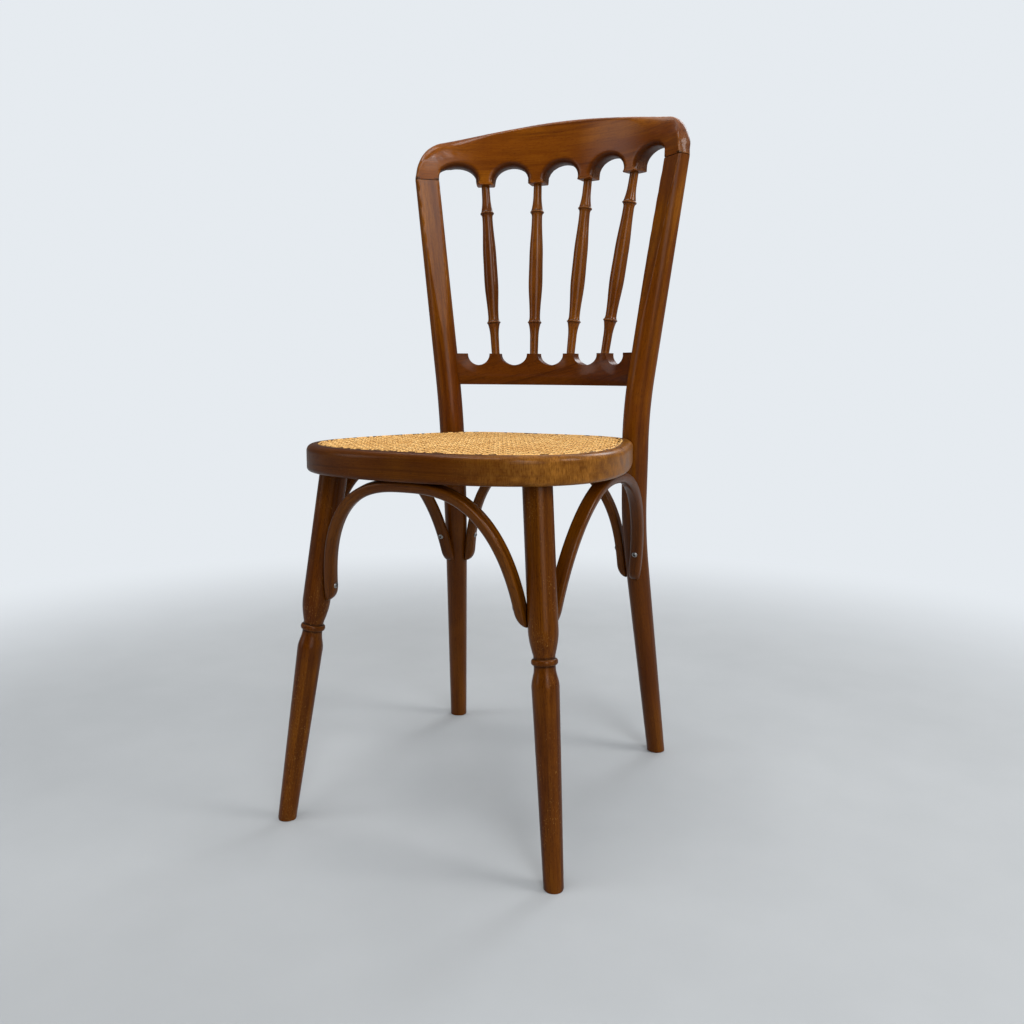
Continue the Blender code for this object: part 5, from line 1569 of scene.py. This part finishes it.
def woven(name, sets):
    """Weave sets of strands: spacing, shift, turn, lift, phase, and the way the waves run."""
    grown = [grow(weave, flat_outline("cane_field", WEAVE_INSET, 0.0), {
        "Edge": edge_object, "Spacing": spacing, "Shift": shift, "Turn": turn,
        "Step": PITCH / 6, "Lift": lift, "Phase": phase, "Along X": along_x, "Along Y": along_y,
        "Width": STRAND_WIDTH, "Thickness": STRAND_THICKNESS, "Level": cane_level,
        "Seed": float(seed + 3), "Material": CANE})
        for seed, (spacing, shift, turn, lift, phase, along_x, along_y) in enumerate(sets)]
    add_piece(name, joined(name, grown), CANE, ["cane_panel"], 60)


woven("cane_lengthwise", [
    (PITCH, -PAIR_GAP / 2, QUARTER, PAIR_LIFT, math.pi, 0.0, 1.0),
    (PITCH, PAIR_GAP / 2, QUARTER, PAIR_LIFT, 0.0, 0.0, 1.0)])
woven("cane_crosswise", [
    (PITCH, -PAIR_GAP / 2, 0.0, PAIR_LIFT, math.pi, 1.0, 0.0),
    (PITCH, PAIR_GAP / 2, 0.0, PAIR_LIFT, 0.0, 1.0, 0.0)])
diagonal = PITCH / math.sqrt(2)
woven("cane_diagonals", [
    (diagonal, diagonal / 2, -EIGHTH, DIAGONAL_LIFT, QUARTER, 1.0, 0.0),
    (diagonal, diagonal / 2, EIGHTH, DIAGONAL_LIFT, -QUARTER, 1.0, 0.0)])
bpy.data.objects.remove(edge_object, do_unlink=True)

# %% [markdown]
# The spline is a strip of cane glued into the groove, which holds the edge of the weave. A
# second tree takes the outline as a curve and gives it a low rounded section.

# %% Spline
SPLINE_RISE, SPLINE_HEIGHT = 0.0007, 0.0046


def spline_tree():
    tree = Tree("spline", ("Width", "Height"))
    given = tree.given
    loop = tree.geo("MeshToCurve", inputs={"Mesh": given["Geometry"]})
    loop = tree.geo("SetCurveNormal", mode="Z_UP", inputs={"Curve": loop})
    strip = tree.geo("CurveToMesh", inputs={
        "Curve": loop, "Profile Curve": tree.section(10, given["Width"], given["Height"])})
    return tree.close(tree.keep(strip, "tone", 0.5))


path = flat_outline(
    "spline_path", GROOVE_INSET + GROOVE_WIDTH / 2,
    SEAT_HEIGHT + SPLINE_RISE - SPLINE_HEIGHT / 2)
strip = grow(spline_tree(), path, {
    "Width": GROOVE_WIDTH - 2 * GAP, "Height": SPLINE_HEIGHT, "Material": SPLINE})
add_piece(
    "spline_strip", joined("spline_strip", [strip]), SPLINE, ["cane_spline"], 60)

# %% [markdown]
# The screws are all the same: a round head, let into the wood, with a cross recess painted
# nearly black as shade. One head is modelled, and a tree sets a copy on every marked spot, turned
# to face out of the wood and spun at random, because nobody lines up screws. The two bolts behind
# the uprights are the same head, larger.

# %% Screws
HEAD_RADIUS, HEAD_RISE, SHANK_RADIUS, SHANK_LENGTH, SUNK = 0.0039, 0.0019, 0.0019, 0.0040, 0.0006
RECESS_RADIUS = 0.0023


def screw_head(sides=32):
    """A domed head with a cross-shaped recess, facing up, with a short shank below."""
    low = 0.0002
    profile = [(SHANK_RADIUS, -SHANK_LENGTH), (SHANK_RADIUS, -SUNK), (HEAD_RADIUS, -SUNK)]
    profile += [(HEAD_RADIUS, low)]
    for angle in np.radians((78, 64, 50, 38)):
        profile.append((HEAD_RADIUS * math.sin(angle), low + HEAD_RISE * math.cos(angle)))
    turns = [2 * math.pi * j / sides for j in range(sides)]
    rings = [[(radius * math.cos(turn), radius * math.sin(turn), height) for turn in turns]
        for radius, height in profile]
    for share, depth in ((1.0, 0.0), (0.94, 0.0009), (0.30, 0.0013)):
        arms = [share * (0.00110 + 0.00115 * abs(math.cos(2 * turn)) ** 3) for turn in turns]
        rings.append([
            (arm * math.cos(turn), arm * math.sin(turn), low + HEAD_RISE * 0.97 - depth)
            for arm, turn in zip(arms, turns)])
    mesh = skin("screw_head", rings, [(0, 0, 0)] * (sides * len(rings)))
    # The second value marks the recess, which the steel paints dark as shade.
    store(mesh, "finish", "FLOAT_VECTOR", [
        (0.0, float(v.co.xy.length < RECESS_RADIUS and 0 < v.co.z < HEAD_RISE * 0.97), 0.0)
        for v in mesh.vertices])
    mesh.shade_smooth()
    return mesh


def screw_tree():
    tree = Tree("screws", ("Seed",), ("Head",))
    given = tree.given
    facing = tree.geo("InputNamedAttribute", data_type="FLOAT_VECTOR", inputs={"Name": "facing"})
    turned = tree.node("FunctionNodeAlignRotationToVector", axis="Z", inputs={"Vector": facing})
    angle = tree.node("FunctionNodeRandomValue", output=1, data_type="FLOAT", inputs={
        "Max": 3.1, "Seed": given["Seed"]})
    spun = tree.node("FunctionNodeRotateRotation", rotation_space="LOCAL", inputs={
        "Rotation": turned,
        "Rotate By": tree.node("FunctionNodeAxisAngleToRotation", inputs={
            "Axis": (0, 0, 1), "Angle": angle})})
    return tree.close(tree.geo("InstanceOnPoints", inputs={
        "Points": given["Geometry"],
        "Instance": tree.geo("ObjectInfo", output="Geometry", inputs={"Object": given["Head"]}),
        "Rotation": spun,
        "Scale": tree.geo("InputNamedAttribute", data_type="FLOAT", inputs={"Name": "size"})}))


bolt_out = seat_normal(UPRIGHT_TURN)
for side in (-1, 1):
    out = Vector((side * bolt_out.x, bolt_out.y, 0))
    spot = upright_at(SEAT_HEIGHT - RING_THICKNESS / 2, side) + out * (UPRIGHT_DIA / 2 - 0.0034)
    screw_spots.append((spot, out, 1.3))
points = bpy.data.meshes.new("screw_spots")
points.from_pydata([tuple(spot) for spot, _, _ in screw_spots], [], [])
store(points, "facing", "FLOAT_VECTOR", [tuple(out) for _, out, _ in screw_spots])
store(points, "size", "FLOAT", [size for _, _, size in screw_spots])
head = put("screw_head", screw_head())
heads = grow(screw_tree(), points, {"Seed": 4.0, "Head": head, "Material": STEEL})
bpy.data.objects.remove(head, do_unlink=True)
screw_nodes = [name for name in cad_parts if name.endswith(("_screw", "_bolt"))]
add_piece("screw_heads", heads, STEEL, screw_nodes, 35)
print("screw nodes", len(screw_nodes))

# %% [markdown]
# The loose dowels inside the crest joints stay as the frame has them and only get the wood's
# finish. They read the grain from their own coordinates, since they carry no attributes.

# %% Dowels
def plain_beech():
    finish = Finish("beech_dowel")
    fibre = finish.noise(finish.own_place(), (900.0, 900.0, 30.0))
    return finish.surface(
        Base_Color=finish.mix(fibre, (0.42, 0.26, 0.13), (0.56, 0.38, 0.20)),
        Roughness=finish.between(fibre, 0.3, 0.7, 0.5, 0.7))


dowel_finish = plain_beech()
for name in ("left_crest_dowel", "right_crest_dowel"):
    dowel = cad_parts[name]
    dowel.data.materials.clear()
    dowel.data.materials.append(dowel_finish)
    print(name, dowel_finish.name)

# %% [markdown]
# The dressed chair must be as large as the frame, so both boxes are written down for comparison.

# %% Sizes and finish
DRESSED_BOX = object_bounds()
show_box("dressed", DRESSED_BOX)
